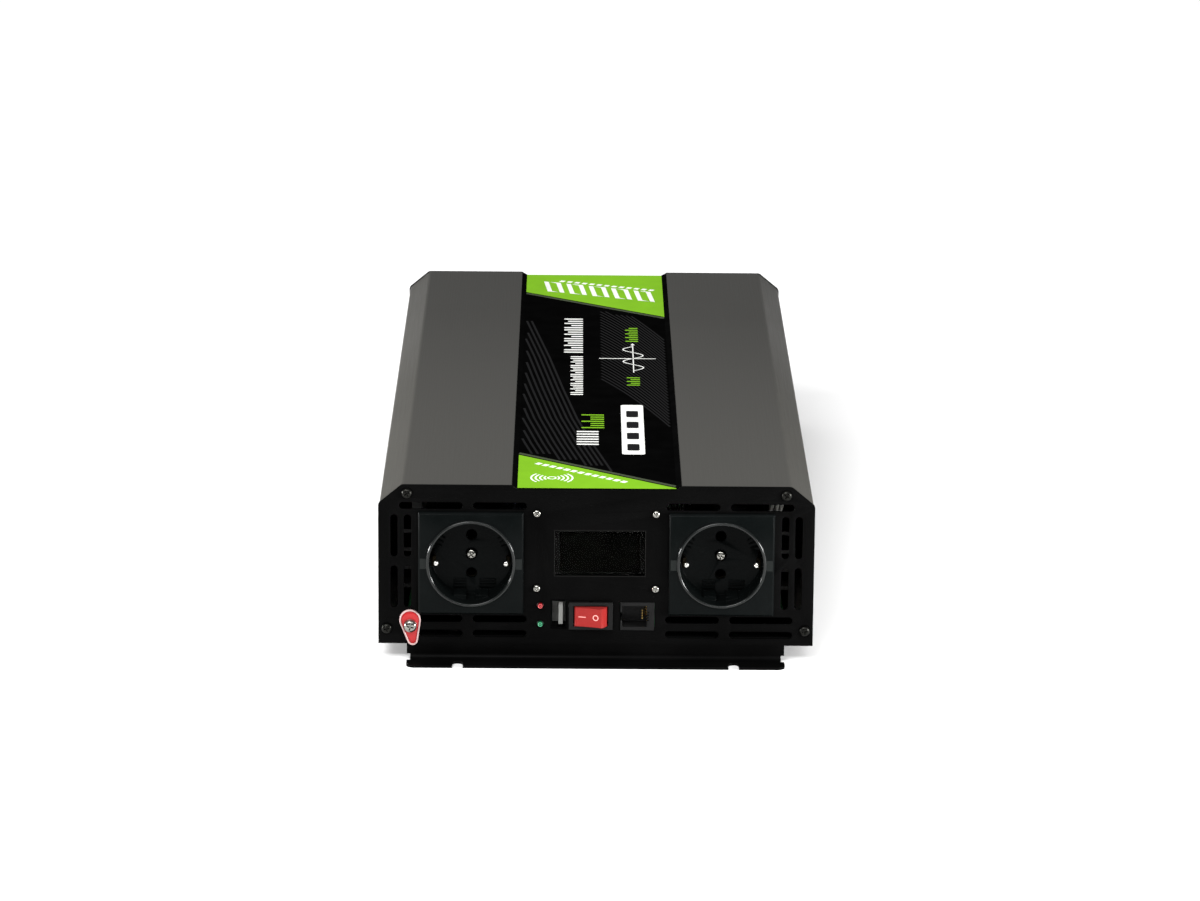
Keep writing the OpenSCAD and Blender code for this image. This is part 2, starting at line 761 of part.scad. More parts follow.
// A strap behind the well's floor, with a sprung arm at each end and a tab to the rear
module earth_clip() color("gold") difference() {
    arm = [
        [arm_x - 0.3, well_floor - 13.6],
        [arm_x - 1.6, well_floor - 10.5],
        [arm_x, well_floor - 7],
        [arm_x, face_back + strap_t / 2]
    ];
    path = concat([for (p = arm) [-p[0], p[1]]], backwards(arm));
    outer = beside(path, strap_t / 2);
    corner = len(arm);
    tab = [for (x = [-1, 1]) earth_tab_x + x * strap_t / 2];
    translate([0, 0, -strap_w / 2]) linear_extrude(height = strap_w) polygon(concat(
        [for (i = [0:corner - 1]) outer[i]],
        [[tab[0], strap_back], [tab[0], earth_tab_back], [tab[1], earth_tab_back], [tab[1], strap_back]],
        [for (i = [corner:2 * corner - 1]) outer[i]],
        backwards(beside(path, -strap_t / 2))
    ));
    rod([0, 0], face_back - 1, centre_screw_d + 0.6, strap_t + 2);
}

module pin_sleeves() color("goldenrod") for (z = [-1, 1]) {
    difference() {
        rod([0, z * pin_pitch / 2], face_back, sleeve_od, sleeve_back - face_back);
        rod([0, z * pin_pitch / 2], face_back - 1, sleeve_id, sleeve_back - face_back - 1);
    }
    rod([0, z * pin_pitch / 2], sleeve_back - 1, sleeve_tail_d, sleeve_tail - 1);
}

module at_socket(side) at_front() translate([side * socket_x, 0, socket_z]) children();

module socket_screws() color("silver") for (side = [-1, 1]) at_socket(side)
    pan_screw([0, 0], well_floor, centre_screw_d, floor_t + strap_t + 11);

// ---- Display ----

module display_window() color("lightcyan", 0.4) at_front()
    block([window_shift, window_z], sheet, window_w + 2 * window_lap, window_t, window_h + 2 * window_lap);

module display_panel() color([0.15, 0.2, 0.15]) at_front()
    block([window_shift, window_z], sheet + window_t, window_w + 2 * glass_lap[0], display_gap - window_t,
          window_h + 2 * glass_lap[1]);

module display_board() color("darkgreen") at_front() difference() {
    block([0, display_z], sheet + display_gap, display_pitch_x + 2 * display_board_border, board_t,
          display_pitch_z + 2 * display_board_border);
    for (at = display_corners()) rod(at, 0, display_screw_d + 4 * bore_gap, through);
}

module display_spacers() color("silver") at_front() for (at = display_corners()) difference() {
    rod(at, sheet, display_spacer_d, display_gap);
    rod(at, 0, display_screw_d + 2 * bore_gap, through);
}

module display_screws() color("silver") at_front() for (at = display_corners())
    pan_screw(at, 0, display_screw_d, sheet + display_gap + board_t + display_screw_end);

// ---- Controls ----

module control_board() color("darkgreen") at_front() difference() {
    translate([control_x[0], control_depth, deck_z + control_board_rise])
        cube([control_x[1] - control_x[0], board_t, control_board_h]);
    block(lifted(switch_at), 0, control_notch[0], through, control_notch[1]);
}

module lamp(at) at_front() {
    rod(at, 0, lamp_d, lamp_l);
    translate([at[0], 0, at[1]]) sphere(d = lamp_d);
    rod(at, sheet, lamp_d + 2 * lamp_rim[0], lamp_rim[1]);
    for (z = [-1, 1]) rod(at + [0, z * lamp_leg_x], lamp_l - 0.1, lamp_leg_d, control_depth - lamp_l + 0.1);
}
module red_lamp() color("red") lamp(lifted(red_lamp));
module green_lamp() color("lime") lamp(lifted(green_lamp));

module usb_shell() color("silver") at_front() difference() {
    block(lifted(usb_at), -usb_proud, usb_size[0], control_depth + usb_proud, usb_size[1]);
    block(lifted(usb_at), -1, usb_size[0] - 2 * usb_wall, control_depth + 2, usb_size[1] - 2 * usb_wall);
}

module usb_tongue() color("white") at_front() {
    block(lifted(usb_at) + [tongue_shift, 0], tongue_y, tongue_size[0], control_depth - tongue_y,
          tongue_size[1]);
    block(lifted(usb_at), usb_base_y, usb_size[0] - 2 * usb_wall, control_depth - usb_base_y,
          usb_size[1] - 2 * usb_wall);
}

module phone_jack() color([0.12, 0.12, 0.12]) at_front() difference() {
    block(lifted(jack_at), -jack_proud, jack_size[0], control_depth + jack_proud, jack_size[1]);
    block(lifted(jack_at) + [jack_mouth_shift, 0], -1, jack_mouth[0], jack_depth + 1, jack_mouth[1]);
    block(lifted(jack_at) + [latch_slot_shift, 0], -1, latch_slot[0], jack_depth + 1, latch_slot[1]);
    for (i = [-1.5:1:1.5]) block(lifted(jack_at) + [contact_shift, i * contact_pitch], -1,
                                 contact_slot[0], jack_depth + 1, contact_slot[1]);
}

module jack_contacts() color("gold") at_front() for (i = [-1.5:1:1.5])
    translate([jack_at[0] + contact_shift, 0, base_z + jack_at[1] + i * contact_pitch]) strip([
        [-0.15, contact_t * 3],
        [-0.15, jack_depth - contact_t],
        [-0.8, jack_depth - contact_t],
        [-2.5, jack_depth / 3]
    ], contact_t, contact_w);

// ---- Rocker switch ----

module at_switch() at_front() translate([switch_at[0], 0, base_z + switch_at[1]]) children();

module switch_housing() color([0.1, 0.1, 0.1]) at_switch() difference() {
    union() {
        block([0, 0], -bezel_t, bezel_size[0], bezel_t, bezel_size[1]);
        block([0, 0], -0.1, switch_size[0], switch_back + 0.1, switch_size[1]);
    }
    block([0, 0], -bezel_t - 1, 2 * (rocker_r + move_gap), switch_back - switch_floor + bezel_t + 1,
          rocker_w + 2 * move_gap);
    translate([0, pivot_y, -switch_size[1]]) cylinder(d = rocker_pin_d + 2 * bore_gap, h = 2 * switch_size[1]);
    for (x = [0, side_terminal_x]) block([x, 0], 0, terminal_t, switch_back + 1, terminal_w);
}

// The rocker level, its pivot at the origin
module rocker_blank() {
    corner = [sqrt(rocker_r * rocker_r - rocker_top * rocker_top), -rocker_top];
    translate([0, 0, -rocker_w / 2]) linear_extrude(height = rocker_w) difference() {
        circle(r = rocker_r, $fn = 96);
        translate([-rocker_r, rocker_skirt]) square([2 * rocker_r, rocker_r]);
        polygon([corner, [0, rocker_dip - rocker_top], [-corner[0], corner[1]], [-rocker_r, -2 * rocker_r],
                 [rocker_r, -2 * rocker_r]]);
    }
    translate([0, 0, -switch_size[1] / 2 + 0.1]) cylinder(d = rocker_pin_d, h = switch_size[1] - 0.2);
    translate([0, plunger_start, 0]) rotate([-90, 0, 0])
        cylinder(d = plunger_d, h = plunger_r - plunger_start);
    translate([0, plunger_r, 0]) sphere(d = plunger_d);
}

module switch_rocker() color("red") at_switch() translate([0, pivot_y, 0])
    rotate([0, 0, -rocker_travel / 2]) rocker_blank();

module switch_lever() color("peru") at_switch() translate([0, lever_y, 0]) {
    rotate([0, 0, lever_travel / 2]) cube([lever_l, lever_t, lever_w], center = true);
    for (z = [-1, 1]) translate([0, 0, z * (lever_w + lever_pin_l) / 2])
        cylinder(d = lever_pin_d, h = lever_pin_l + 0.4, center = true);
}

module switch_terminals() color("goldenrod") at_switch() {
    block([0, 0], lever_y + lever_t / 2 + move_gap, terminal_t, terminal_l, terminal_w);
    block([side_terminal_x, 0], switch_back - switch_floor - terminal_t, terminal_t, side_terminal_l,
          terminal_w);
}

// ---- Earth point ----

// Two arcs joined by straight flanks
module drop(a, ra, b, rb) {
    lean = acos((ra - rb) / norm(b - a));
    aim = atan2(b[1] - a[1], b[0] - a[0]);
    steps = 16;
    polygon(concat(
        [for (i = [0:steps]) b + rb * polar(aim - lean + 2 * lean * i / steps)],
        [for (i = [0:steps]) a + ra * polar(aim + lean + (360 - 2 * lean) * i / steps)]
    ));
}
function polar(angle) = [cos(angle), sin(angle)];

module earth_tag() color("crimson") at_front() translate([earth_at[0], 0, base_z + earth_at[1]]) difference() {
    prism(-tag_t - tag_rim_h, tag_t + tag_rim_h) drop(tag_round, tag_r, tag_tip, tag_tip_r);
    prism(-tag_t - tag_rim_h - 1, tag_rim_h + 1)
        drop(tag_round, tag_r - tag_rim_w, tag_tip, tag_tip_r - tag_rim_w);
    rod([0, 0], -through / 2, earth_screw_d + 4 * bore_gap, through);
}

module earth_washer() color("silver") at_front() difference() {
    rod(lifted(earth_at), -tag_t - earth_washer_t, earth_washer_d, earth_washer_t);
    rod(lifted(earth_at), -through / 2, earth_screw_d + 4 * bore_gap, through);
}

module earth_screw() color("silver") at_front() {
    pan_screw(lifted(earth_at), -tag_t - earth_washer_t, earth_screw_d, earth_screw_l, earth_head_d);
    hex(lifted(earth_at), sheet, earth_nut[0], earth_nut[1]);
}

// ---- Fans ----

function fan_corners(side) = [for (x = [-1, 1]) for (z = [-1, 1])
    [side * fan_x + x * fan_pitch / 2, fan_z + z * fan_pitch / 2]];

module fan_frame(side) color([0.12, 0.12, 0.12]) at_rear() {
    difference() {
        block([side * fan_x, fan_z], sheet, fan_w, fan_t, fan_w);
        rod([side * fan_x, fan_z], 0, duct_d, fan_back + 1);
        for (at = fan_corners(side)) rod(at, 0, fan_hole_d, fan_back + 1);
    }
    translate([side * fan_x, 0, fan_z]) difference() {
        union() {
            rod([0, 0], fan_back - hub_wall_t, hub_d, hub_wall_t);
            rod([0, 0], fan_back - bearing_l - 1, bearing_d, bearing_l);
            for (turn = [20:90:290]) rotate([0, turn, 0])
                block([duct_d / 4, 0], fan_back - hub_wall_t, duct_d / 2 + 0.6, hub_wall_t, fan_spoke_w);
        }
        rod([0, 0], fan_back - bearing_l - 2, fan_shaft_d + 2 * bore_gap, bearing_l + 1);
    }
}

// Rotor cup with its blades, turning about the depth axis
module fan_rotor(side) color([0.18, 0.18, 0.18]) at_rear() translate([side * fan_x, 0, fan_z]) {
    cup_back = fan_back - hub_wall_t - 1;
    difference() {
        rod([0, 0], cup_y, hub_d, cup_back - cup_y);
        rod([0, 0], cup_y + cup_floor, hub_d - 2 * cup_wall, cup_back);
    }
    rod([0, 0], cup_y + 1, fan_shaft_d, fan_back - 3 - cup_y);
    intersection() {
        difference() {
            rod([0, 0], cup_y + 0.5, rotor_d, cup_back - cup_y - 0.5);
            rod([0, 0], 0, hub_d - 1, fan_back);
        }
        for (i = [0:blade_n - 1]) rotate([0, i * 360 / blade_n, 0])
            translate([rotor_d / 4, (cup_y + cup_back) / 2, 0]) rotate([blade_angle, 0, 0])
                cube([rotor_d / 2, blade_l, blade_t], center = true);
    }
}

module fan_guard(side) color("silver") at_rear() translate([side * fan_x, 0, fan_z]) {
    corner = fan_pitch / sqrt(2);
    for (d = guard_rings * fan_w / 60) ring([0, 0], -guard_wire * 1.25, d, guard_wire);
    for (turn = [45:90:315]) rotate([0, turn, 0]) {
        translate([guard_spoke_in, -guard_wire / 2, 0]) rotate([0, 90, 0])
            cylinder(d = guard_wire, h = corner - guard_spoke_in - guard_eye_d / 2 + 0.1, $fn = 24);
        ring([corner, 0], -guard_wire / 2, guard_eye_d, guard_wire);
    }
}

module fan_screws() color("silver") at_rear() for (side = [-1, 1]) for (at = fan_corners(side))
    pan_screw(at, -guard_wire, fan_screw_d, fan_screw_l, fan_head_d);

// ---- Battery studs ----

module insulator(side) at_rear() {
    at = [side * stud_x, stud_z];
    difference() {
        union() {
            rod(at, -insulator_t + 1, insulator_d, insulator_t - 1);
            rod(at, -insulator_t, insulator_d - 3, insulator_t);
            rod(at, -0.1, neck_d, bar_y + 0.1);
        }
        rod(at, -insulator_t - 1, stud_d + 2 * slide_gap, through);
    }
    difference() {
        rod(at, sheet, neck_d + 2 * bush_border, bush_t);
        rod(at, 0, neck_d + 2 * bore_gap, through);
    }
}

module terminal_studs() color("goldenrod") at_rear() for (side = [-1, 1]) {
    rod([side * stud_x, stud_z], -stud_out, stud_d, stud_out + bar_y + bar_t + head_t);
    hex([side * stud_x, stud_z], bar_y + bar_t, nut_af, head_t);
}

module terminal_washers() color("silver") at_rear() for (side = [-1, 1]) difference() {
    rod([side * stud_x, stud_z], -insulator_t - washer_t, 2 * stud_d, washer_t);
    rod([side * stud_x, stud_z], -stud_out, stud_d + 2 * slide_gap, stud_out);
}

module terminal_nuts() color("silver") at_rear() for (side = [-1, 1]) difference() {
    hex([side * stud_x, stud_z], -insulator_t - washer_t - nut_t, nut_af, nut_t);
    rod([side * stud_x, stud_z], -stud_out, stud_d + 2 * bore_gap, stud_out);
}

// Each bar drops from its stud and turns forward onto the main board
module bus_bars() color("peru") at_rear() for (side = [-1, 1]) difference() {
    union() {
        block([side * stud_x, (stud_z + bar_w / 2 + board_top) / 2], bar_y, bar_w, bar_t,
              stud_z + bar_w / 2 - board_top);
        translate([side * stud_x - bar_w / 2, bar_y, board_top]) cube([bar_w, bar_foot - bar_y, bar_t]);
    }
    rod([side * stud_x, stud_z], 0, stud_d + 2 * slide_gap, through / 3);
}

// ---- Inside ----

spacer_places = [for (x = [-spacer_x, spacer_x]) for (share = spacer_share)
    [x, board_front + board_l * share]];

module main_board() color("darkgreen") at_front() difference() {
    translate([-board_w / 2, board_front, board_z]) cube([board_w, board_l, board_t]);
    for (at = spacer_places) translate([at[0], at[1], 0])
        cylinder(d = board_screw_d + 6 * bore_gap, h = through);
}

module board_spacers() color("silver") at_front() for (at = spacer_places) difference() {
    translate([at[0], at[1], deck_z]) cylinder(d = spacer_d, h = spacer_h, $fn = 6);
    translate([at[0], at[1], 0]) cylinder(d = board_screw_d + 2 * bore_gap, h = through);
}

module board_screws() color("silver") at_front() for (at = spacer_places) {
    translate([at[0], at[1], board_top]) cylinder(d = board_head[0], h = board_head[1]);
    translate([at[0], at[1], deck_z + 0.5]) cylinder(d = board_screw_d, h = board_top - deck_z);
}

// Bars stand on the board's edges, their fins towards the cover's sides
module heat_sink(side) color("silver") at_front() mirror([side < 0 ? 1 : 0, 0, 0]) {
    translate([sink_inner, sink_start, board_top]) cube([sink_t, sink_l, sink_h]);
    for (i = [0:fin_n - 1])
        translate([sink_inner, sink_start, board_top + fin_rise + i * (sink_h - 3 * fin_rise) / (fin_n - 1)])
            cube([sink_t + fin_l, sink_l, fin_t]);
}

module power_transistors() color([0.15, 0.15, 0.15]) at_front() for (side = [-1, 1])
    mirror([side < 0 ? 1 : 0, 0, 0]) for (i = [0:transistor_n - 1])
        translate([sink_inner - transistor[0],
                   sink_start + transistor_in + i * transistor_pitch - transistor[1] / 2, board_top]) {
            translate([0, 0, transistor_rise]) cube(transistor);
            for (k = [-1:1]) translate([2, (transistor[1] - leg[1]) / 2 + k * leg_pitch, 0])
                cube([leg[0], leg[1], transistor_rise + 0.5]);
        }

// Pairs of transformers fill the middle of the board
transformer_places = [for (x = [-transformer_x, transformer_x]) for (y = transformer_y) [x, y]];
core_gap = (core_size[0] - core_leg_w) / 2 - core_yoke;

module transformer_cores() color([0.25, 0.25, 0.27]) at_front() for (at = transformer_places)
    translate([at[0], at[1], board_top]) difference() {
        translate([-core_size[0] / 2, -core_size[1] / 2, 0]) cube(core_size);
        for (side = [-1, 1]) translate([side * (core_leg_w + core_gap) / 2, 0, core_size[2] / 2])
            cube([core_gap, core_size[1] + 2, winding_size[2] + 1], center = true);
    }

module transformer_windings() color("orange") at_front() for (at = transformer_places)
    translate([at[0], at[1], board_top + core_size[2] / 2]) difference() {
        intersection() {
            cube([core_leg_w + 2 * (core_gap - move_gap), winding_size[1], winding_size[2]], center = true);
            cylinder(d = winding_size[1] * 1.06, h = winding_size[2], center = true);
        }
        cube([core_leg_w + 0.4, core_size[1] + 0.4, winding_size[2] + 2], center = true);
    }

module capacitor(size) {
    cylinder(d = size[0], h = size[1] - cap_rim[1]);
    cylinder(d = size[0] - 2 * cap_rim[0], h = size[1]);
}

module bus_capacitors() color("navy") at_front() for (x = [-1:1])
    translate([x * bus_cap_x, bus_cap_y, board_top]) capacitor(bus_cap);

module input_capacitors() color("black") at_front() for (i = [-2.5:1:2.5])
    translate([i * (input_cap[0] + input_cap_gap), input_cap_y, board_top]) capacitor(input_cap);

module output_choke() color("darkkhaki") at_front()
    translate([choke_at[0], choke_at[1], board_top + choke[0] / 2]) rotate([90, 0, 0])
        rotate_extrude() translate([choke[1] / 2, -choke[2] / 2])
            square([(choke[0] - choke[1]) / 2, choke[2]]);

module input_fuses() color("orange") at_front() for (i = [-2.5:1:2.5])
    translate([i * fuse_pitch - fuse[0] / 2, fuse_y, board_top]) {
        translate([0, 0, fuse_rise]) cube(fuse);
        for (y = blade_places) translate([(fuse[0] - blade[0]) / 2, y, 0]) cube(blade);
    }

// Outlet leads run down to the front of the board, fan leads to its rear
module inside_leads() color("whitesmoke") {
    for (side = [-1, 1]) {
        tail_y = sleeve_back + sleeve_tail - 2;
        at_socket(side) {
            for (pin = [-1, 1]) wire([
                [0, tail_y, pin * pin_pitch / 2],
                [0, lead_y - lead_d, pin * pin_pitch / 2],
                [pin * pin_lead_x, lead_y, pin * pin_pitch / 2 - pin_lead_drop],
                [pin * pin_lead_x, lead_y, board_top - socket_z]
            ], lead_d);
            wire([[earth_tab_x, earth_tab_back, 0], [earth_tab_x, lead_y - 2, 0],
                  [earth_tab_x, lead_y, -3], [earth_tab_x, lead_y, board_top - socket_z]], lead_d);
        }
        at_rear() for (x = [-1, 1]) translate([side * fan_x + x * fan_lead_x, fan_back, 0]) wire([
            [0, 0, fan_z - fan_lead_drop],
            [0, fan_lead_bend[0], fan_z - fan_lead_drop],
            [0, fan_lead_bend[1], fan_z - 2 * fan_lead_drop],
            [0, fan_lead_bend[1], board_top]
        ], fan_lead_d);
    }
}

// ---- Selection ----

top_cover();
base_plate();
front_panel();
rear_panel();
top_label();
panel_screws();
at_socket(-1) socket_face();  // left_socket_face
at_socket(-1) socket_base();  // left_socket_base
at_socket(-1) earth_clip();  // left_earth_clip
at_socket(-1) pin_sleeves();  // left_pin_sleeves
at_socket(1) socket_face();  // right_socket_face
at_socket(1) socket_base();  // right_socket_base
at_socket(1) earth_clip();  // right_earth_clip
at_socket(1) pin_sleeves();  // right_pin_sleeves
socket_screws();
display_window();
display_panel();
display_board();
display_spacers();
display_screws();
control_board();
red_lamp();
green_lamp();
usb_shell();
usb_tongue();
phone_jack();
jack_contacts();
switch_housing();
switch_rocker();
switch_lever();
switch_terminals();
earth_tag();
earth_washer();
earth_screw();
fan_frame(-1);  // left_fan_frame
fan_rotor(-1);  // left_fan_rotor
fan_frame(1);  // right_fan_frame
fan_rotor(1);  // right_fan_rotor
fan_guard(-1);  // left_fan_guard
fan_guard(1);  // right_fan_guard
fan_screws();
color("red") insulator(1);  // positive_insulator
color("black") insulator(-1);  // negative_insulator
terminal_studs();
terminal_washers();
terminal_nuts();
bus_bars();
main_board();
board_spacers();
board_screws();
heat_sink(-1);  // left_heat_sink
heat_sink(1);  // right_heat_sink
power_transistors();
transformer_cores();
transformer_windings();
bus_capacitors();
input_capacitors();
output_choke();
input_fuses();
inside_leads();
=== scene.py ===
import json
import math
import random

import bmesh
import bpy
from mathutils import Matrix, Vector


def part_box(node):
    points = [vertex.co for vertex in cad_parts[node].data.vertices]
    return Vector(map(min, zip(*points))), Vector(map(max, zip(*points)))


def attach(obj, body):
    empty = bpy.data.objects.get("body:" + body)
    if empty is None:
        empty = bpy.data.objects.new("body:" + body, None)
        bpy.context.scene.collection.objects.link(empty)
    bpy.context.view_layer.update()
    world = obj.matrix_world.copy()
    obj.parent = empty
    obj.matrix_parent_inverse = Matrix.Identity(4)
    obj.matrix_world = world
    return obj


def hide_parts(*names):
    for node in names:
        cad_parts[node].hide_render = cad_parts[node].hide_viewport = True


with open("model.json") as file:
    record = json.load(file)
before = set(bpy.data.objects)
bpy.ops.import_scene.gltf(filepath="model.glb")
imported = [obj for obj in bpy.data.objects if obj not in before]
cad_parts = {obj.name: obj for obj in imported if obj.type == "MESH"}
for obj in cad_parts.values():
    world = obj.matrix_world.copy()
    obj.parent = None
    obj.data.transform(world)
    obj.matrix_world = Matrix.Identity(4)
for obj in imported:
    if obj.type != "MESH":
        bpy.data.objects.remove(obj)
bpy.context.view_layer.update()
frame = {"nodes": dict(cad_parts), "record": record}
mm = 0.001
sheetThickness = 1.2 * mm
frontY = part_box("top_cover")[0].y - sheetThickness
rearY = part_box("top_cover")[1].y + sheetThickness
random.seed(7)


def shade(red, green, blue, alpha=1.0):
    # Screen colour from 0 to 255, turned into the linear value that shaders take
    linear = [((c / 255 + 0.055) / 1.055) ** 2.4 if c > 10 else c / 255 / 12.92 for c in (red, green, blue)]
    return (*linear, alpha)


class Signal:
    # A socket that can be used in Python expressions
    def __init__(self, graph, socket):
        self.graph = graph
        self.socket = socket

    def maths(self, operation, first, second):
        return self.graph.node("ShaderNodeMath", {"operation": operation}, {0: first, 1: second})

    def __add__(self, other):
        return self.maths("ADD", self, other)

    def __radd__(self, other):
        return self.maths("ADD", other, self)

    def __sub__(self, other):
        return self.maths("SUBTRACT", self, other)

    def __rsub__(self, other):
        return self.maths("SUBTRACT", other, self)

    def __mul__(self, other):
        return self.maths("MULTIPLY", self, other)

    def __rmul__(self, other):
        return self.maths("MULTIPLY", other, self)


class Graph:
    # A node tree under construction
    def __init__(self, tree):
        self.tree = tree

    def node(self, kind, settings=None, sockets=None, out=0):
        made = self.tree.nodes.new(kind)
        for key, value in (settings or {}).items():
            setattr(made, key, value)
        for key, value in (sockets or {}).items():
            self.feed(made.inputs[key], value)
        return Signal(self, made.outputs[out])

    def feed(self, socket, value):
        if isinstance(value, Signal):
            self.tree.links.new(value.socket, socket)
        else:
            socket.default_value = value

    def ramp(self, value, low, high):
        # 0 below low, 1 above high
        return self.node("ShaderNodeMapRange", {"clamp": True}, {
            "Value": value, "From Min": low, "From Max": high})


class Finish(Graph):
    # A material under construction; fixed values go straight onto the shader's own sockets
    def __init__(self, name, **fixed):
        self.material = bpy.data.materials.new(name)
        self.material.use_nodes = True
        super().__init__(self.material.node_tree)
        self.tree.nodes.clear()
        self.shader = self.tree.nodes.new("ShaderNodeBsdfPrincipled")
        output = self.tree.nodes.new("ShaderNodeOutputMaterial")
        self.tree.links.new(self.shader.outputs[0], output.inputs[0])
        self.set(**fixed)

    def set(self, **sockets):
        for key, value in sockets.items():
            self.feed(self.shader.inputs[key.replace("_", " ")], value)
        return self

    def place(self, scale=(1, 1, 1)):
        # Metres on the piece, stretched along each axis
        where = self.node("ShaderNodeTexCoord", out=3)
        return self.node("ShaderNodeMapping", {}, {"Vector": where, "Scale": scale})

    def noise(self, size, detail=3.0, rough=0.5, stretch=(1, 1, 1)):
        # size is the spacing of the grains in metres
        return self.node("ShaderNodeTexNoise", {}, {
            "Vector": self.place(stretch), "Scale": 1 / size, "Detail": detail, "Roughness": rough})

    def mix(self, factor, first, second):
        return self.node("ShaderNodeMix", {"data_type": "RGBA"}, {0: factor, 6: first, 7: second}, out=2)

    def relief(self, height, distance, strength=1.0, edge=0.0):
        # Bump from height in metres of distance, over edges softened by a small radius
        sockets = {"Height": height, "Distance": distance, "Strength": strength}
        if edge:
            sockets["Normal"] = self.node("ShaderNodeBevel", {"samples": 4}, {"Radius": edge})
        return self.set(Normal=self.node("ShaderNodeBump", {}, sockets))


def coatedSheet(name, colour, roughness=0.42, grain=0.0006, edge=0.0003):
    # Powder coat: a fine orange peel over a slightly uneven colour
    coat = Finish(name, Specular_IOR_Level=0.02)
    cloud = coat.noise(0.03, 4)
    peel = coat.noise(grain, 2)
    lifted = tuple(c * 1.5 + 0.0004 for c in colour[:3]) + (1,)
    coat.set(Base_Color=coat.mix(coat.ramp(cloud, 0.35, 0.7), colour, lifted))
    coat.set(Roughness=roughness + 0.12 * (cloud - 0.5) + 0.08 * (peel - 0.5))
    return coat.relief(peel, 0.00003, 0.5, edge).material


def drawnMetal(name, colour, along, roughness=0.35, metallic=0.6, lines=0.0004, edge=0.0004, tone=0.12):
    # Extruded or drawn metal: fine lines along one axis, a faint blotch and softened edges
    metal = Finish(name, Metallic=metallic)
    stretch = tuple(0.012 if axis == along else 1 for axis in "XYZ")
    grain = metal.noise(lines, 3, 0.6, stretch)
    blotch = metal.noise(0.06, 3)
    dark = tuple(c * (1 - tone) for c in colour[:3]) + (1,)
    light = tuple(c * (1 + tone) for c in colour[:3]) + (1,)
    metal.set(Base_Color=metal.mix(0.6 * grain + 0.4 * blotch, dark, light))
    metal.set(Roughness=roughness + 0.16 * (grain - 0.5) + 0.1 * (blotch - 0.5))
    return metal.relief(grain, 0.00002, 0.4, edge).material


def moulded(name, colour, roughness=0.35, grain=0.0004, depth=0.00002, edge=0.0003, specular=0.4, **fixed):
    # Moulded plastic: fine spark-eroded texture and a slow drift in gloss
    plastic = Finish(name, Specular_IOR_Level=specular, **fixed)
    fine = plastic.noise(grain, 2)
    drift = plastic.noise(0.012, 3)
    lifted = tuple(min(1, c * 1.25 + 0.002) for c in colour[:3]) + (1,)
    plastic.set(Base_Color=plastic.mix(drift, colour, lifted))
    plastic.set(Roughness=roughness + 0.1 * (drift - 0.5) + 0.06 * (fine - 0.5))
    return plastic.relief(fine, depth, 0.5, edge).material


def platedMetal(name, colour, roughness=0.22, edge=0.0002):
    # Zinc, nickel, chrome or brass on small parts: bright, with light handling marks
    metal = Finish(name, Metallic=1.0)
    haze = metal.noise(0.002, 4, 0.6)
    scratch = metal.noise(0.0003, 2, 0.5, (1, 0.1, 1))
    dull = tuple(c * 0.72 for c in colour[:3]) + (1,)
    metal.set(Base_Color=metal.mix(metal.ramp(haze, 0.3, 0.75), dull, colour))
    metal.set(Roughness=roughness + 0.2 * (haze - 0.45))
    return metal.relief(scratch, 0.00001, 0.3, edge).material


def circuitBoard(name):
    # Green solder mask with the shadow of copper tracks under it
    board = Finish(name, Specular_IOR_Level=0.5)
    tracks = board.node("ShaderNodeTexBrick", {"offset": 0.37, "squash": 0.6}, {
        "Vector": board.place(), "Scale": 1.0, "Brick Width": 0.011, "Row Height": 0.0023,
        "Mortar Size": 0.0004, "Mortar Smooth": 0.2}, out=1)
    speckle = board.noise(0.004, 3)
    base = board.mix(tracks, shade(18, 84, 44), shade(10, 58, 30))
    board.set(Base_Color=board.mix(0.4 * speckle, base, shade(30, 100, 58)))
    board.set(Roughness=0.3 + 0.2 * speckle)
    return board.relief(tracks, 0.00004, 0.6).material


def woundCopper(name, colour):
    # Turns of enamelled wire lying side by side
    coil = Finish(name, Metallic=0.55)
    turns = coil.node("ShaderNodeTexWave", {"bands_direction": "Z"}, {
        "Vector": coil.place(), "Scale": 330, "Distortion": 0.6, "Detail": 1})
    dull = tuple(c * 0.35 for c in colour[:3]) + (1,)
    coil.set(Base_Color=coil.mix(turns, dull, colour))
    coil.set(Roughness=0.38 + 0.15 * (1 - turns))
    return coil.relief(turns, 0.0004, 0.8).material


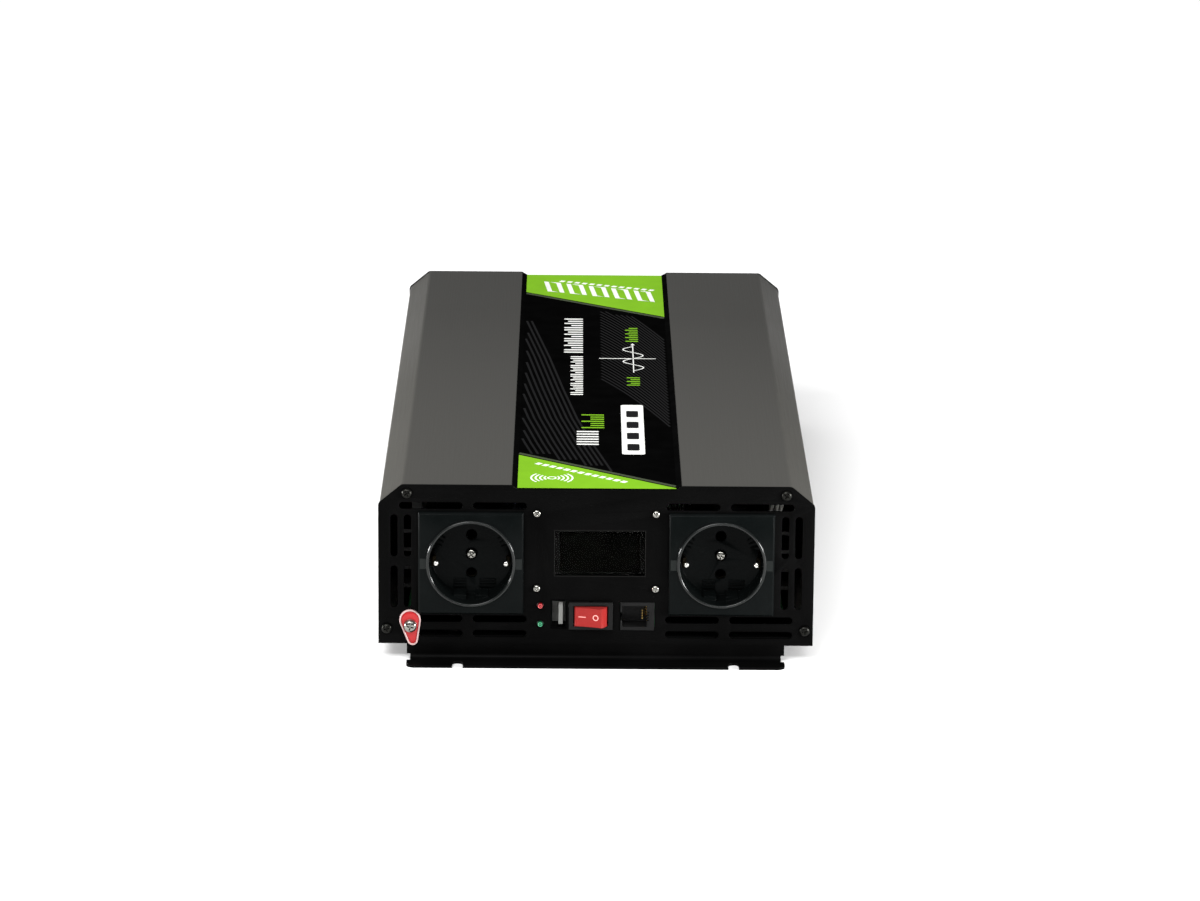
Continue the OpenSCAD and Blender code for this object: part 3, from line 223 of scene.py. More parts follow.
finishes = {
    "cover_aluminium": drawnMetal("coverAnodised", shade(58, 57, 53), "Y", 0.5, 0.2, 0.0006, 0.0005, 0.08),
    # painted shade: the aluminium inside the case is made dark grey, as it looks through the slots
    "bare_aluminium": drawnMetal("bareAluminiumPaintedShade", shade(72, 72, 71), "Y", 0.5, 0.6),
    "panel_black": coatedSheet("panelCoat", shade(3, 3, 3)),
    "label_print": moulded("labelFilm", shade(2, 2, 2), 0.42, 0.0012, 0.00001, 0, 0.0),
    "black_screws": platedMetal("blackenedSteel", shade(36, 36, 34), 0.3),
    "socket_plastic": moulded("outletPlastic", shade(4, 6, 6), 0.2, 0.0005, 0.00001, 0.0004, 0.03),
    "black_plastic": moulded("blackPlastic", shade(14, 14, 14), 0.35, 0.0004, 0.00002, 0.0003, 0.1),
    "rotor_plastic": moulded("rotorPlastic", shade(26, 26, 27), 0.38),
    "brass": platedMetal("brass", shade(214, 178, 104), 0.28),
    "bright_steel": platedMetal("zincSteel", shade(168, 167, 162), 0.26),
    "guard_chrome": platedMetal("guardChrome", shade(222, 222, 224), 0.14),
    "window_clear": moulded("windowClear", shade(150, 155, 148), 0.06, 0.0008, 0.000005, 0.0003, 0.1,
                            Transmission_Weight=1.0, IOR=1.1),
    "display_glass": moulded("displayGlass", shade(20, 21, 16), 0.2, 0.0008, 0.000005, 0, 0.08),
    "board_green": circuitBoard("solderMask"),
    "lamp_red": moulded("lampRed", shade(128, 24, 30), 0.18, 0.0006, 0.000005, 0, 0.5),
    "lamp_green": moulded("lampGreen", shade(16, 84, 52), 0.18, 0.0006, 0.000005, 0, 0.5),
    "pale_plastic": moulded("palePlastic", shade(150, 150, 144), 0.4),
    "rocker_red": moulded("rockerRed", shade(128, 32, 30), 0.3, 0.0005, 0.00001, 0.0004, 0.1),
    "copper": platedMetal("copper", shade(205, 130, 92), 0.34),
    "tag_red": moulded("tagEnamel", shade(152, 28, 30), 0.22, 0.0005, 0.00001, 0.0002, 0.3),
    "insulator_red": moulded("insulatorRed", shade(186, 26, 26), 0.3),
    "ferrite": moulded("ferrite", shade(74, 74, 76), 0.55, 0.0007, 0.00005),
    "winding": woundCopper("woundCopper", shade(196, 120, 62)),
    "capacitor_sleeve": moulded("capacitorSleeve", shade(24, 30, 52), 0.3),
    "markWhite": moulded("markWhite", shade(224, 160, 154), 0.4, 0.0004, 0.00001, 0, 0.1),
    "tagPale": moulded("tagPale", shade(168, 142, 140), 0.35, 0.0005, 0.00001, 0.0002),
    "maskBlack": moulded("maskBlack", shade(4, 4, 4), 0.25, 0.0008, 0.000005, 0, 0.05),
    # painted highlights: pale copies of the lamp colours for the ring and dot on each lens
    "lamp_red_pale": moulded("lampRedPale", shade(190, 84, 84), 0.2, 0.0006, 0.000005, 0, 0.4),
    "lamp_green_pale": moulded("lampGreenPale", shade(70, 150, 112), 0.2, 0.0006, 0.000005, 0, 0.4),
    "tongueGrey": moulded("tongueGrey", shade(126, 127, 124), 0.5, 0.0006, 0.00001, 0.0002, 0.1),
    # painted shade: plated steel made almost black, for the shade inside the USB port
    "usbShell": platedMetal("usbShell", shade(8, 8, 9), 0.5),
    # painted shade: brass made almost black for the clips and pin sleeves that lie in shade in the outlets
    "brassPaintedShade": platedMetal("brassPaintedShade", shade(30, 26, 18), 0.5),
    # painted light: a lighter copy of the outlet plastic, for the side pads
    "padPaintedLight": moulded("padPaintedLight", shade(17, 20, 19), 0.25, 0.0005, 0.00001, 0, 0.1),
    "edgeLine": moulded("edgeLine", shade(16, 16, 15), 0.3, 0.0005, 0.00001, 0, 0.06),
    "polishedZinc": platedMetal("polishedZinc", shade(150, 149, 143), 0.14),
    "tipNickel": platedMetal("tipNickel", shade(225, 224, 218), 0.25),
    "outletGloss": moulded("outletGloss", shade(9, 12, 11), 0.16, 0.0006, 0.000004, 0, 0.3),
    "leadWhite": moulded("leadWhite", shade(238, 240, 232), 0.4),
    "fuse_plastic": moulded("fuseAmber", shade(222, 140, 40), 0.25),
}

slotOf = {part["node"]: part["material_slot"] for part in frame["record"]["subparts"]}
finishOf = dict(slotOf)
finishOf.update({
    # The USB shell takes the almost black plating: painted shade inside the port
    # The base plate takes the black panel coat: painted shade where it shows through the lower slots
    "usb_shell": "usbShell", "usb_tongue": "tongueGrey", "base_plate": "panel_black",
    # Earth clips and pin sleeves take the almost black brass: painted shade in the outlets
    "left_earth_clip": "brassPaintedShade", "right_earth_clip": "brassPaintedShade",
    "left_pin_sleeves": "brassPaintedShade", "right_pin_sleeves": "brassPaintedShade",
})
for name, cadObject in frame["nodes"].items():
    cadObject.data.materials.clear()
    cadObject.data.materials.append(finishes[finishOf[name]])
print("finishes on", len(frame["nodes"]), "packed nodes")


def camel(node):
    first, *rest = node.split("_")
    return first + "".join(word.capitalize() for word in rest)


def looseObject(name, bm):
    mesh = bpy.data.meshes.new(name)
    bm.to_mesh(mesh)
    bm.free()
    made = bpy.data.objects.new(name, mesh)
    bpy.context.scene.collection.objects.link(made)
    return made


def discard(item):
    mesh = item.data
    bpy.data.objects.remove(item)
    bpy.data.meshes.remove(mesh)


def finished(name, bm, finish, hides=(), body="case", sharp=35):
    # Turns a bmesh into a named piece that rides on its body
    bmesh.ops.recalc_face_normals(bm, faces=bm.faces)
    for face in bm.faces:
        face.smooth = True
    piece = looseObject(name, bm)
    piece.data.set_sharp_from_angle(angle=math.radians(sharp))
    piece.data.materials.append(finishes[finish])
    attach(piece, body)
    if hides:
        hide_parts(*hides)


def standIn(node, bm, finish=None, body="case", sharp=35):
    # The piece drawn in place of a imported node, with the node's own name and slot
    finished(camel(node), bm, finish or finishOf[node], (node,), body, sharp)


def shaped(bm, kind, **settings):
    # The same mesh after a modifier
    held = looseObject("held", bm)
    modifier = held.modifiers.new(kind, kind)
    for key, value in settings.items():
        setattr(modifier, key, value)
    result = bmesh.new()
    result.from_object(held, bpy.context.evaluated_depsgraph_get())
    discard(held)
    return result


def carved(bm, cutter):
    tool = looseObject("tool", cutter)
    result = shaped(bm, "BOOLEAN", operation="DIFFERENCE", solver="EXACT", object=tool)
    discard(tool)
    return result


def eased(bm, width, angle=30, segments=2):
    return shaped(bm, "BEVEL", width=width, segments=segments, limit_method="ANGLE",
                  angle_limit=math.radians(angle), use_clamp_overlap=True)


def copied(node):
    # A node's own mesh with its split corners joined and its flat areas made whole
    bm = bmesh.new()
    bm.from_mesh(frame["nodes"][node].data)
    bmesh.ops.remove_doubles(bm, verts=bm.verts, dist=2e-6)
    bmesh.ops.dissolve_limit(bm, angle_limit=math.radians(0.5), verts=bm.verts, edges=bm.edges)
    return bm


def merged(target, extra, matrix=None):
    # Moves a second bmesh into the first, placed by a matrix
    mesh = bpy.data.meshes.new("merge")
    extra.to_mesh(mesh)
    extra.free()
    if matrix:
        mesh.transform(matrix)
    target.from_mesh(mesh)
    bpy.data.meshes.remove(mesh)


def standing(x, y, z, outward):
    # Places a shape drawn up Z so that it points to the front (-1) or to the rear (1)
    return Matrix.Translation((x, y, z)) @ Matrix.Rotation(-outward * math.pi / 2, 4, "X")


def around(steps):
    return [2 * math.pi * i / steps for i in range(steps)]


def bridged(bm, first, second):
    # Four-sided faces between two closed loops of the same length
    for i in range(len(first)):
        j = (i + 1) % len(first)
        bm.faces.new((first[i], first[j], second[j], second[i]))


def plate(bm, rise, outer, inner=None):
    # A closed solid between two levels; rise turns a point and a level, 0 or 1, into a position
    rows = [[bm.verts.new(rise(point, level)) for point in loop]
            for loop in (outer, inner) if loop for level in (0, 1)]
    if inner is None:
        bm.faces.new(rows[0])
        bm.faces.new(rows[1][::-1])
    bridged(bm, rows[0], rows[1])
    if inner:
        bridged(bm, rows[1], rows[3])
        bridged(bm, rows[3], rows[2])
        bridged(bm, rows[2], rows[0])


def spun(profile, steps=48):
    # A line of (radius, height) points from axis to axis, turned about Z
    bm = bmesh.new()
    rings = []
    for radius, height in profile:
        if radius < 1e-7:
            rings.append([bm.verts.new((0, 0, height))])
        else:
            rings.append([bm.verts.new((radius * math.cos(a), radius * math.sin(a), height))
                          for a in around(steps)])
    for first, second in zip(rings, rings[1:]):
        for i in range(steps):
            j = (i + 1) % steps
            corners = [first[i % len(first)], first[j % len(first)],
                       second[j % len(second)], second[i % len(second)]]
            corners = [c for k, c in enumerate(corners) if c not in corners[:k]]
            if len(corners) > 2:
                bm.faces.new(corners)
    return bm


def turned(profile, steps):
    # A closed outline of (radius, height) points turned about Z, which leaves an open middle
    bm = bmesh.new()
    rings = [[bm.verts.new((r * math.cos(a), r * math.sin(a), h)) for r, h in profile] for a in around(steps)]
    for first, second in zip(rings, rings[1:] + rings[:1]):
        bridged(bm, second, first)
    return bm


def pulled(outline, near, far):
    # An outline in X and Z, made solid between two depths
    bm = bmesh.new()
    plate(bm, lambda point, level: (point[0], (near, far)[level], point[1]), outline)
    return bm


def boxed(low, high):
    corners = [(low[0], low[2]), (high[0], low[2]), (high[0], high[2]), (low[0], high[2])]
    return pulled(corners, low[1], high[1])


def islands(node):
    # Low and high corners of each separate solid in a node
    bm = copied(node)
    seen, found = set(), []
    for start in bm.verts:
        if start in seen:
            continue
        seen.add(start)
        group, queue = [start], [start]
        while queue:
            for edge in queue.pop().link_edges:
                for vert in edge.verts:
                    if vert not in seen:
                        seen.add(vert)
                        group.append(vert)
                        queue.append(vert)
        low, high = (Vector([pick(v.co[k] for v in group) for k in range(3)]) for pick in (min, max))
        found.append((low, high))
    bm.free()
    return found


# Screws: sizes are shares of the head's radius, and of its rise for the dome and the recess

screwShape = {
    "rise": 0.686, "shank": 1 / 1.75, "threadPitch": 0.7, "threadRoot": 0.86, "point": 0.6, "steps": 40,
    "dome": ((0, 1), (0.3, 0.985), (0.55, 0.93), (0.75, 0.82), (0.88, 0.67), (0.96, 0.48), (1, 0.25), (1, 0.08),
             (0.97, 0)),
    "crossHalf": 0.115, "crossReach": 0.62, "crossFloor": 0.2, "crossTaper": 0.62, "crossOver": 1.2,
}


def panHead(radius, length):
    # Domed head with a cross recess, standing on Z = 0 with its threaded shank below
    s = screwShape
    rise, shank = radius * s["rise"], radius * s["shank"]
    profile = [(radius * r, rise * h) for r, h in s["dome"]]
    turns = max(1, int(length / (s["threadPitch"] * mm)))
    for i in range(turns):
        top = -length * i / turns
        profile += [(shank, top - 0.1 * length / turns),
                    (shank * s["threadRoot"], top - 0.55 * length / turns)]
    profile += [(shank * s["point"], -length), (0, -length)]
    reach, half = radius * s["crossReach"], radius * s["crossHalf"]
    arm, cross = [(half, half), (half, reach), (-half, reach)], []
    for quarter in range(4):
        cross += arm
        arm = [(-y, x) for x, y in arm]
    cutter = bmesh.new()
    taper, floor, over = s["crossTaper"], rise * s["crossFloor"], rise * s["crossOver"]
    low = [cutter.verts.new((x * taper, y * taper, floor)) for x, y in cross]
    high = [cutter.verts.new((x, y, over)) for x, y in cross]
    cutter.faces.new(low[::-1])
    cutter.faces.new(high)
    bridged(cutter, low, high)
    return carved(spun(profile, s["steps"]), cutter)


def screws(node, finish, share=1.0):
    # share: the drawn head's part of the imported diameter
    whole = bmesh.new()
    for low, high in islands(node):
        centre = (low + high) / 2
        outward = -1 if centre.y < 0 else 1
        radius = (high.x - low.x) / 2 * share
        rise = radius * screwShape["rise"]
        seat = low.y + rise if outward < 0 else high.y - rise
        turn = Matrix.Rotation(random.uniform(0, math.pi / 2), 4, "Z")
        place = standing(centre.x, seat, centre.z, outward) @ turn
        merged(whole, panHead(radius, high.y - low.y - rise), place)
    standIn(node, whole, finish, sharp=30)


screws("panel_screws", "black_screws")
screws("display_screws", "polishedZinc", 0.88)
screws("socket_screws", "polishedZinc", 0.92)
screws("fan_screws", "bright_steel")
screws("earth_screw", "polishedZinc", 0.84)
print("screws made")


# Sheet metal, mouldings and turned parts: radius of each eased edge, in millimetres

easing = {
    "top_cover": 0.35, "front_panel": 0.14, "rear_panel": 0.14, "left_socket_face": 0.22,
    "right_socket_face": 0.22, "switch_housing": 0.3, "phone_jack": 0.2, "usb_shell": 0.12,
    "positive_insulator": 0.5, "negative_insulator": 0.5, "left_fan_frame": 0.35, "right_fan_frame": 0.35,
    "terminal_washers": 0.25, "terminal_nuts": 0.4,
}
for node, width in easing.items():
    standIn(node, eased(copied(node), width * mm))
print("edges eased on", len(easing), "pieces")


# Rocker: a round-flanked bar with a dished face, trunnion pins and a plunger

rockerShape = {
    "radius": 8.0, "faceDrop": 4.7, "half": 4.7, "skirt": 3.0, "flankSteps": 14, "faceSteps": 24, "dip": 0.35,
    "round": 0.35, "pinRadius": 1.2, "pinChamfer": 0.2,
    "plunger": ((0, 8), (0.5, 7.87), (0.87, 7.5), (1, 7), (1, 2.5), (0, 2.5)),
    "markRise": 0.05, "dash": (3.4, 0.34), "dashFromEnd": 1.6, "rings": (1.42, 1.04), "ringFromEnd": 3.0,
}


def makeRocker():
    s = rockerShape
    joint = next(j for j in frame["record"]["behaviour"]["joints"] if j["name"] == "rocker_tip")
    low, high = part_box("switch_rocker")
    radius, drop, half = s["radius"] * mm, s["faceDrop"] * mm, s["half"] * mm
    end = math.sqrt(radius * radius - drop * drop)

    def faceAt(x):
        return -drop + s["dip"] * mm * (1 - (x / end) ** 2)

    first, last = math.asin(-drop / radius), math.asin(s["skirt"] * mm / radius)
    arc = [first + (last - first) * i / s["flankSteps"] for i in range(s["flankSteps"] + 1)]
    right = [(radius * math.cos(a), radius * math.sin(a)) for a in arc]
    left = [(-x, y) for x, y in reversed(right)]
    across = [-end + 2 * end * i / s["faceSteps"] for i in range(1, s["faceSteps"])]
    bar = pulled(right + left + [(x, faceAt(x)) for x in across], -half, half)
    # pulled() lays the section in X and Z; here it lies in X and Y, and the bar runs along Z
    bar.transform(Matrix(((1, 0, 0, 0), (0, 0, 1, 0), (0, -1, 0, 0), (0, 0, 0, 1))))
    body = eased(bar, s["round"] * mm, 40, 3)
    pin, reach, chamfer = s["pinRadius"] * mm, (high.z - low.z) / 2, s["pinChamfer"] * mm
    merged(body, spun([(0, -reach), (pin * 0.8, -reach), (pin, -reach + chamfer), (pin, reach - chamfer),
                       (pin * 0.8, reach), (0, reach)], 32))
    merged(body, spun([(r * mm, h * mm) for r, h in s["plunger"]], 24), standing(0, 0, 0, 1))
    tilt = math.radians(sum(joint["range_deg"]) / 2)
    place = Matrix.Translation(joint["pos_m"]) @ Matrix.Rotation(-tilt, 4, "Z")
    body.transform(place)
    standIn("switch_rocker", body, body="rocker")

    # The on and off marks sit on the face and follow its dip
    lift = s["markRise"] * mm

    def rise(point, level):
        return (point[0], faceAt(point[0]) + (-lift, lift)[level], point[1])

    marks = bmesh.new()
    length, width = (size * mm for size in s["dash"])
    start = -end + s["dashFromEnd"] * mm
    plate(marks, rise, [(start, -width / 2), (start + length, -width / 2), (start + length, width / 2),
                        (start, width / 2)])
    ringX = end - s["ringFromEnd"] * mm
    plate(marks, rise, *([(ringX + r * mm * math.cos(t), r * mm * math.sin(t)) for t in around(32)]
                         for r in s["rings"]))
    marks.transform(place)
    finished("rockerMarks", marks, "markWhite", (), "rocker")


makeRocker()
print("rocker made")


# Earth tag: a pale rim round a red enamelled face, under a dished washer

tagShape = {
    "ease": 0.15, "wall": 0.7, "steps": 20, "roundRadius": 5.1, "tipRadius": 2.5, "tipShift": 1.2, "hole": 2.3,
    "seat": 0.6, "backing": 0.02, "washerBore": 0.5, "washerDish": 0.15,
    "dome": ((1.0, 0.0), (0.97, 0.12), (0.85, 0.3), (0.6, 0.42), (0.3, 0.42), (0.0, 0.3)),
}


def tagOutline(low, high, inset):
    # Two arcs joined by straight flanks: a round top and a narrower tip
    roundRadius, tipRadius = tagShape["roundRadius"] * mm, tagShape["tipRadius"] * mm
    roundAt = (low.x + roundRadius, high.z - roundRadius)
    tipAt = (roundAt[0] + tagShape["tipShift"] * mm, low.z + tipRadius)
    lean = math.acos((roundRadius - tipRadius) / math.dist(roundAt, tipAt))
    aim = math.atan2(tipAt[1] - roundAt[1], tipAt[0] - roundAt[0])
    points = []
    for centre, radius, start, sweep in ((tipAt, tipRadius, aim - lean, 2 * lean),
                                         (roundAt, roundRadius, aim + lean, 2 * math.pi - 2 * lean)):
        for i in range(tagShape["steps"] + 1):
            a = start + sweep * i / tagShape["steps"]
            reach = radius - inset
            points.append((centre[0] + reach * math.cos(a), centre[1] + reach * math.sin(a)))
    return points


def makeTag():
    s = tagShape
    low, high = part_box("earth_tag")
    finished("earthTagRim", eased(copied("earth_tag"), s["ease"] * mm), "tagPale", ("earth_tag",))
    screwLow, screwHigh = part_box("earth_washer")
    centreX, centreZ = (screwLow.x + screwHigh.x) / 2, (screwLow.z + screwHigh.z) / 2
    hole, seat = s["hole"] * mm, low.y + s["seat"] * mm
    bm = bmesh.new()
    rings = []
    for share, lift in s["dome"]:
        # share: how far out from the hole to the rim
        ring = []
        for x, z in tagOutline(low, high, s["wall"] * mm):
            dx, dz = x - centreX, z - centreZ
            far = math.hypot(dx, dz)
            reach = hole + (far - hole) * share
            corner = (centreX + dx / far * reach, seat - lift * mm, centreZ + dz / far * reach)
            ring.append(bm.verts.new(corner))
        rings.append(ring)
    for first, second in zip(rings, rings[1:]):
        bridged(bm, first, second)
    # The back of the face closes the shell
    outerBack, innerBack = ([bm.verts.new((v.co.x, seat + s["backing"] * mm, v.co.z)) for v in ring]
                            for ring in (rings[0], rings[-1]))
    bridged(bm, outerBack, rings[0])
    bridged(bm, rings[-1], innerBack)
    bridged(bm, innerBack, outerBack)
    finished("earthTagFace", bm, "tag_red")


def makeWasher():
    low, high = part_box("earth_washer")
    centre = (low + high) / 2
    outer, top = (high.x - low.x) / 2, high.y - low.y + tagShape["washerDish"] * mm
    inner = outer * tagShape["washerBore"]
    washer = turned([(outer, 0), (outer, 0.25 * mm), (outer * 0.94, 0.5 * mm), (outer * 0.82, top * 0.85),
                     (outer * 0.68, top), (inner, top * 0.8), (inner, 0)], 48)
    washer.transform(standing(centre.x, high.y, centre.z, -1))
    standIn("earth_washer", washer, "polishedZinc", sharp=50)


makeTag()
makeWasher()
print("earth tag made")


# Print on the label plate: thin flat shapes, in millimetres across and behind the front panel's face

labelTones = {
    # colour and height above the plate
    "green": (shade(118, 174, 30), 0.04), "white": (shade(232, 234, 228), 0.06),
    "grey": (shade(62, 70, 52), 0.05), "stripe": (shade(17, 17, 18), 0.02),
}
labelMesh = {tone: bmesh.new() for tone in labelTones}
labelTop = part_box("top_label")[1]
labelShape = {
    "sink": 0.01, "edge": 37.6, "front": 1.4, "rear": 448.6, "rearBorder": (406.3, 349.9),
    "frontBorder": (61.2, 2.6), "borderGap": 3.2, "borderWide": 2.4,
    "coarse": 17, "coarsePitch": 2.5, "coarseWide": 1.15,
    "spine": ((-34, 338), (-24, 258), (-16.5, 190), (-9.5, 132), (-2, 84), (9, 22)),
    "fine": 30, "finePitch": 6.2, "fineWide": 0.95, "fineFrom": (3, 392),
    "strokes": (
        ("white", -16.4, -6.4, 268, 347, 16, (1, 1, 0.62, 1, 0.8)),
        ("white", -12.9, -6.4, 179, 262, 22, (1, 1, 0.62, 1, 0.8)),
        ("white", -9.6, 1.2, 81, 110, 6, (1,)),
        ("green", -7.3, 4, 113, 142, 7, (1, 0.6, 0.6)),
        ("green", 16, 22.8, 293, 326, 8, (1, 0.7)),
        ("green", 16, 22.8, 199, 218, 5, (1, 0.7)),
    ),
    "strokeShare": 0.42, "strokeRound": 0.45,
    "blocks": 5, "blockPitch": 12.4, "blockFrom": (-25.5, 412), "blockWide": 9.4, "blockLong": 27,
    "dashes": 13, "remoteAt": (-21.4, 19.5), "arcs": (3.6, 5.7, 7.8, 9.9), "arcWide": 0.9,
    "waveMid": 19.8, "waveFrom": 230, "waveTo": 282, "waveReach": 5.2, "waveSteps": 48, "axisDepth": 255.8,
    "badge": (12.5, 23.7, 63.5, 158.9), "tiles": 4, "tileLift": 0.08, "mouth": 40.3, "film": 0.12,
}


def printed(tone, outer, inner=None, lift=None):
    # A thin plate standing on the label, with a hole if inner is given
    levels = (labelTop.z - labelShape["sink"] * mm, labelTop.z + (lift or labelTones[tone][1]) * mm)

    def rise(point, level):
        return (point[0] * mm, frontY + point[1] * mm, levels[level])

    plate(labelMesh[tone], rise, outer, inner)


def printedLine(tone, points, width, closed=False):
    # A line of even width through points
    sides = ([], [])
    count = len(points)
    for i, point in enumerate(points):
        before = points[i - 1] if i or closed else point
        after = points[(i + 1) % count] if i < count - 1 or closed else point
        along = Vector((after[0] - before[0], after[1] - before[1])).normalized()
        for side, sign in zip(sides, (1, -1)):
            side.append((point[0] - sign * along.y * width / 2, point[1] + sign * along.x * width / 2))
    if closed:
        printed(tone, *sides)
    else:
        printed(tone, sides[0] + sides[1][::-1])


def roundedBox(x0, x1, d0, d1, r, steps=5):
    corners = [(x1 - r, d1 - r, 0), (x0 + r, d1 - r, 90), (x0 + r, d0 + r, 180), (x1 - r, d0 + r, 270)]
    points = []
    for x, d, start in corners:
        for i in range(steps + 1):
            a = math.radians(start + 90 * i / steps)
            points.append((x + r * math.cos(a), d + r * math.sin(a)))
    return points


def borderAt(border, x):
    # Depth of a green corner's slanted border
    left, right = labelShape[border]
    return left + (right - left) * (x + labelShape["edge"]) / (2 * labelShape["edge"])


def makeStripes():
    # Coarse curved stripes at the left, then finer ones at the right, kept clear of the borders
    s = labelShape
    edge, spine = s["edge"], s["spine"]
    for k in range(s["coarse"]):
        shift = -k * s["coarsePitch"]
        line = [(xa + (xb - xa) * i / 6 + shift * (1 + 0.1 * k / 12), da + (db - da) * i / 6)
                for (xa, da), (xb, db) in zip(spine, spine[1:]) for i in range(6)]
        line.append((spine[-1][0] + shift, spine[-1][1]))
        kept = [(x, d) for x, d in line if x > 0.9 - edge and d > 5 + borderAt("frontBorder", x)]
        if len(kept) > 2:
            printedLine("stripe", kept, s["coarseWide"])
    startX, startD = s["fineFrom"]
    for k in range(s["fine"]):
        start = startD - k * s["finePitch"]
        across = [startX + (edge - 4) * i / 12 for i in range(13)]
        line = [(x, start - 2.1 * (x - startX) - 0.022 * (x - startX) ** 2) for x in across]
        kept = [(x, d) for x, d in line
                if x < edge - 0.8 and 150 - 1.2 * x < d < borderAt("rearBorder", x) - 12]
        if len(kept) > 2:
            printedLine("stripe", kept, s["fineWide"])


def makeStrokes():
    # Rows of plain strokes along the depth, like the marks of a gauge
    for tone, x0, x1, d0, d1, count, pattern in labelShape["strokes"]:
        pitch = (d1 - d0) / count
        for i in range(count):
            start, reach = d0 + i * pitch, (x1 - x0) * pattern[i % len(pattern)]
            printed(tone, roundedBox(x1 - reach, x1, start, start + labelShape["strokeShare"] * pitch,
                                     labelShape["strokeRound"]))


def makeCorners():
    # Slanted blocks in the rear corner, with a finer row behind them
    s = labelShape
    edge = s["edge"]
    startX, startD = s["blockFrom"]
    wide, long = s["blockWide"], s["blockLong"]
    rearSlope, frontSlope = ((s[border][1] - s[border][0]) / (2 * edge)
                             for border in ("rearBorder", "frontBorder"))
    slope = rearSlope * 0.55
    for i in range(s["blocks"]):
        x = startX + i * s["blockPitch"]
        d = startD + slope * (x + edge)
        block = [(x, d), (x + wide, d + wide * slope),
                 (x + wide - 3, d + long + wide * slope), (x - 3, d + long)]
        centreX, centreD = (sum(p[k] for p in block) / 4 for k in (0, 1))
        inner = [(centreX + (px - centreX) * 0.72, centreD + (pd - centreD) * 0.86) for px, pd in block]
        printedLine("white", inner, 2.6, closed=True)
    for i in range(s["dashes"]):
        x = -19 + i * 4.1
        d = 441 + slope * (x + edge)
        if d < s["rear"] - 2.5:
            printedLine("white", [(x, d), (x + 2.5, d + 2.5 * slope)], 3.4)

    # Arcs for the remote control, and a row of dashes beside the border
    midX, midD = s["remoteAt"]
    for side in (-1, 1):
        for radius in s["arcs"]:
            arc = [(midX + side * radius * math.cos(a), midD + radius * 1.1 * math.sin(a))
                   for a in map(math.radians, range(-42, 43, 12))]
            printedLine("white", arc, s["arcWide"])
    ring = [(midX + 1.9 * math.cos(a), midD + 2.1 * math.sin(a)) for a in around(15)]
    printedLine("white", ring, 0.8, closed=True)
    for i in range(s["dashes"]):
        x = -29 + i * 3.4
        d = borderAt("frontBorder", x) - 8.5
        printedLine("white", [(x, d), (x + 2.2, d + 2.2 * frontSlope)], 3.2)


def makeWave():
    # Sine wave on its two axes, with an arrow head
    s = labelShape
    mid, first, last = s["waveMid"], s["waveFrom"], s["waveTo"]
    shares = [i / s["waveSteps"] for i in range(s["waveSteps"] + 1)]
    wave = [(mid + s["waveReach"] * math.sin(4 * math.pi * share), first + (last - first) * share)
            for share in shares]
    printedLine("white", wave, 0.7)
    printedLine("white", [(mid, first - 4), (mid, last + 4)], 0.55)
    printedLine("white", [(2, s["axisDepth"]), (31.5, s["axisDepth"])], 0.9)
    printed("white", [(mid - 1.1, last + 3), (mid + 1.1, last + 3), (mid, last + 7)])


def makeBadge():
    # White badge with neutral tiles
    x0, x1, d0, d1 = labelShape["badge"]
    printed("white", roundedBox(x0, x1, d0, d1, 1.6))
    for i in range(labelShape["tiles"]):
        start = d0 + 7 + i * (d1 - d0 - 10) / 4
        tile = roundedBox(x0 + 2.6, x1 - 2.6, start, start + 12.5, 1.2)
        printed("stripe", tile, lift=labelShape["tileLift"])


def makeChannelShade():
    # Black sheet up both slopes of the channel: painted shade on the slopes
    s = labelShape
    shadeSheet = bmesh.new()
    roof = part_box("top_cover")[1].z
    mouth, film = s["mouth"] * mm, s["film"] * mm
    foot = s["edge"] * mm + film
    for sign in (-1, 1):
        section = [(sign * foot, labelTop.z), (sign * (mouth - film), roof - film),
                   (sign * (mouth - film), roof + film / 4), (sign * (foot - film), labelTop.z + film)]
        merged(shadeSheet, pulled(section, frontY + sheetThickness, rearY - sheetThickness))
    # The black sheet is painted shade on the channel's slopes
    finished("channelPaintedShade", shadeSheet, "label_print")


def makeLabel():
    s = labelShape
    edge = s["edge"]
    for border, end, gap in (("rearBorder", s["rear"], -s["borderGap"]),
                             ("frontBorder", s["front"], s["borderGap"])):
        left, right = s[border]
        printed("green", [(-edge, left), (edge, right), (edge, end), (-edge, end)])
        printedLine("grey", [(-edge, left + gap), (edge, right + gap)], s["borderWide"])
    makeStripes()
    makeStrokes()
    makeCorners()
    makeWave()
    makeBadge()
    for tone, (colour, height) in labelTones.items():
        name = "label" + tone.capitalize()
        finishes[name] = moulded(name, colour, 0.45, 0.0012, 0.00001, 0, 0.02)
        finished(name, labelMesh[tone], name)
    makeChannelShade()


makeLabel()
print("label printed")


# Display: dark strips beside the active area, and a fine line round the panel's opening

displayShape = {
    "lap": 2.0, "sideStrip": 2.4, "endStrip": 1.2, "back": 0.25, "thick": 0.15, "ease": 0.05,
    "line": 0.28, "lineRise": 0.03, "lineSink": 0.3,
}


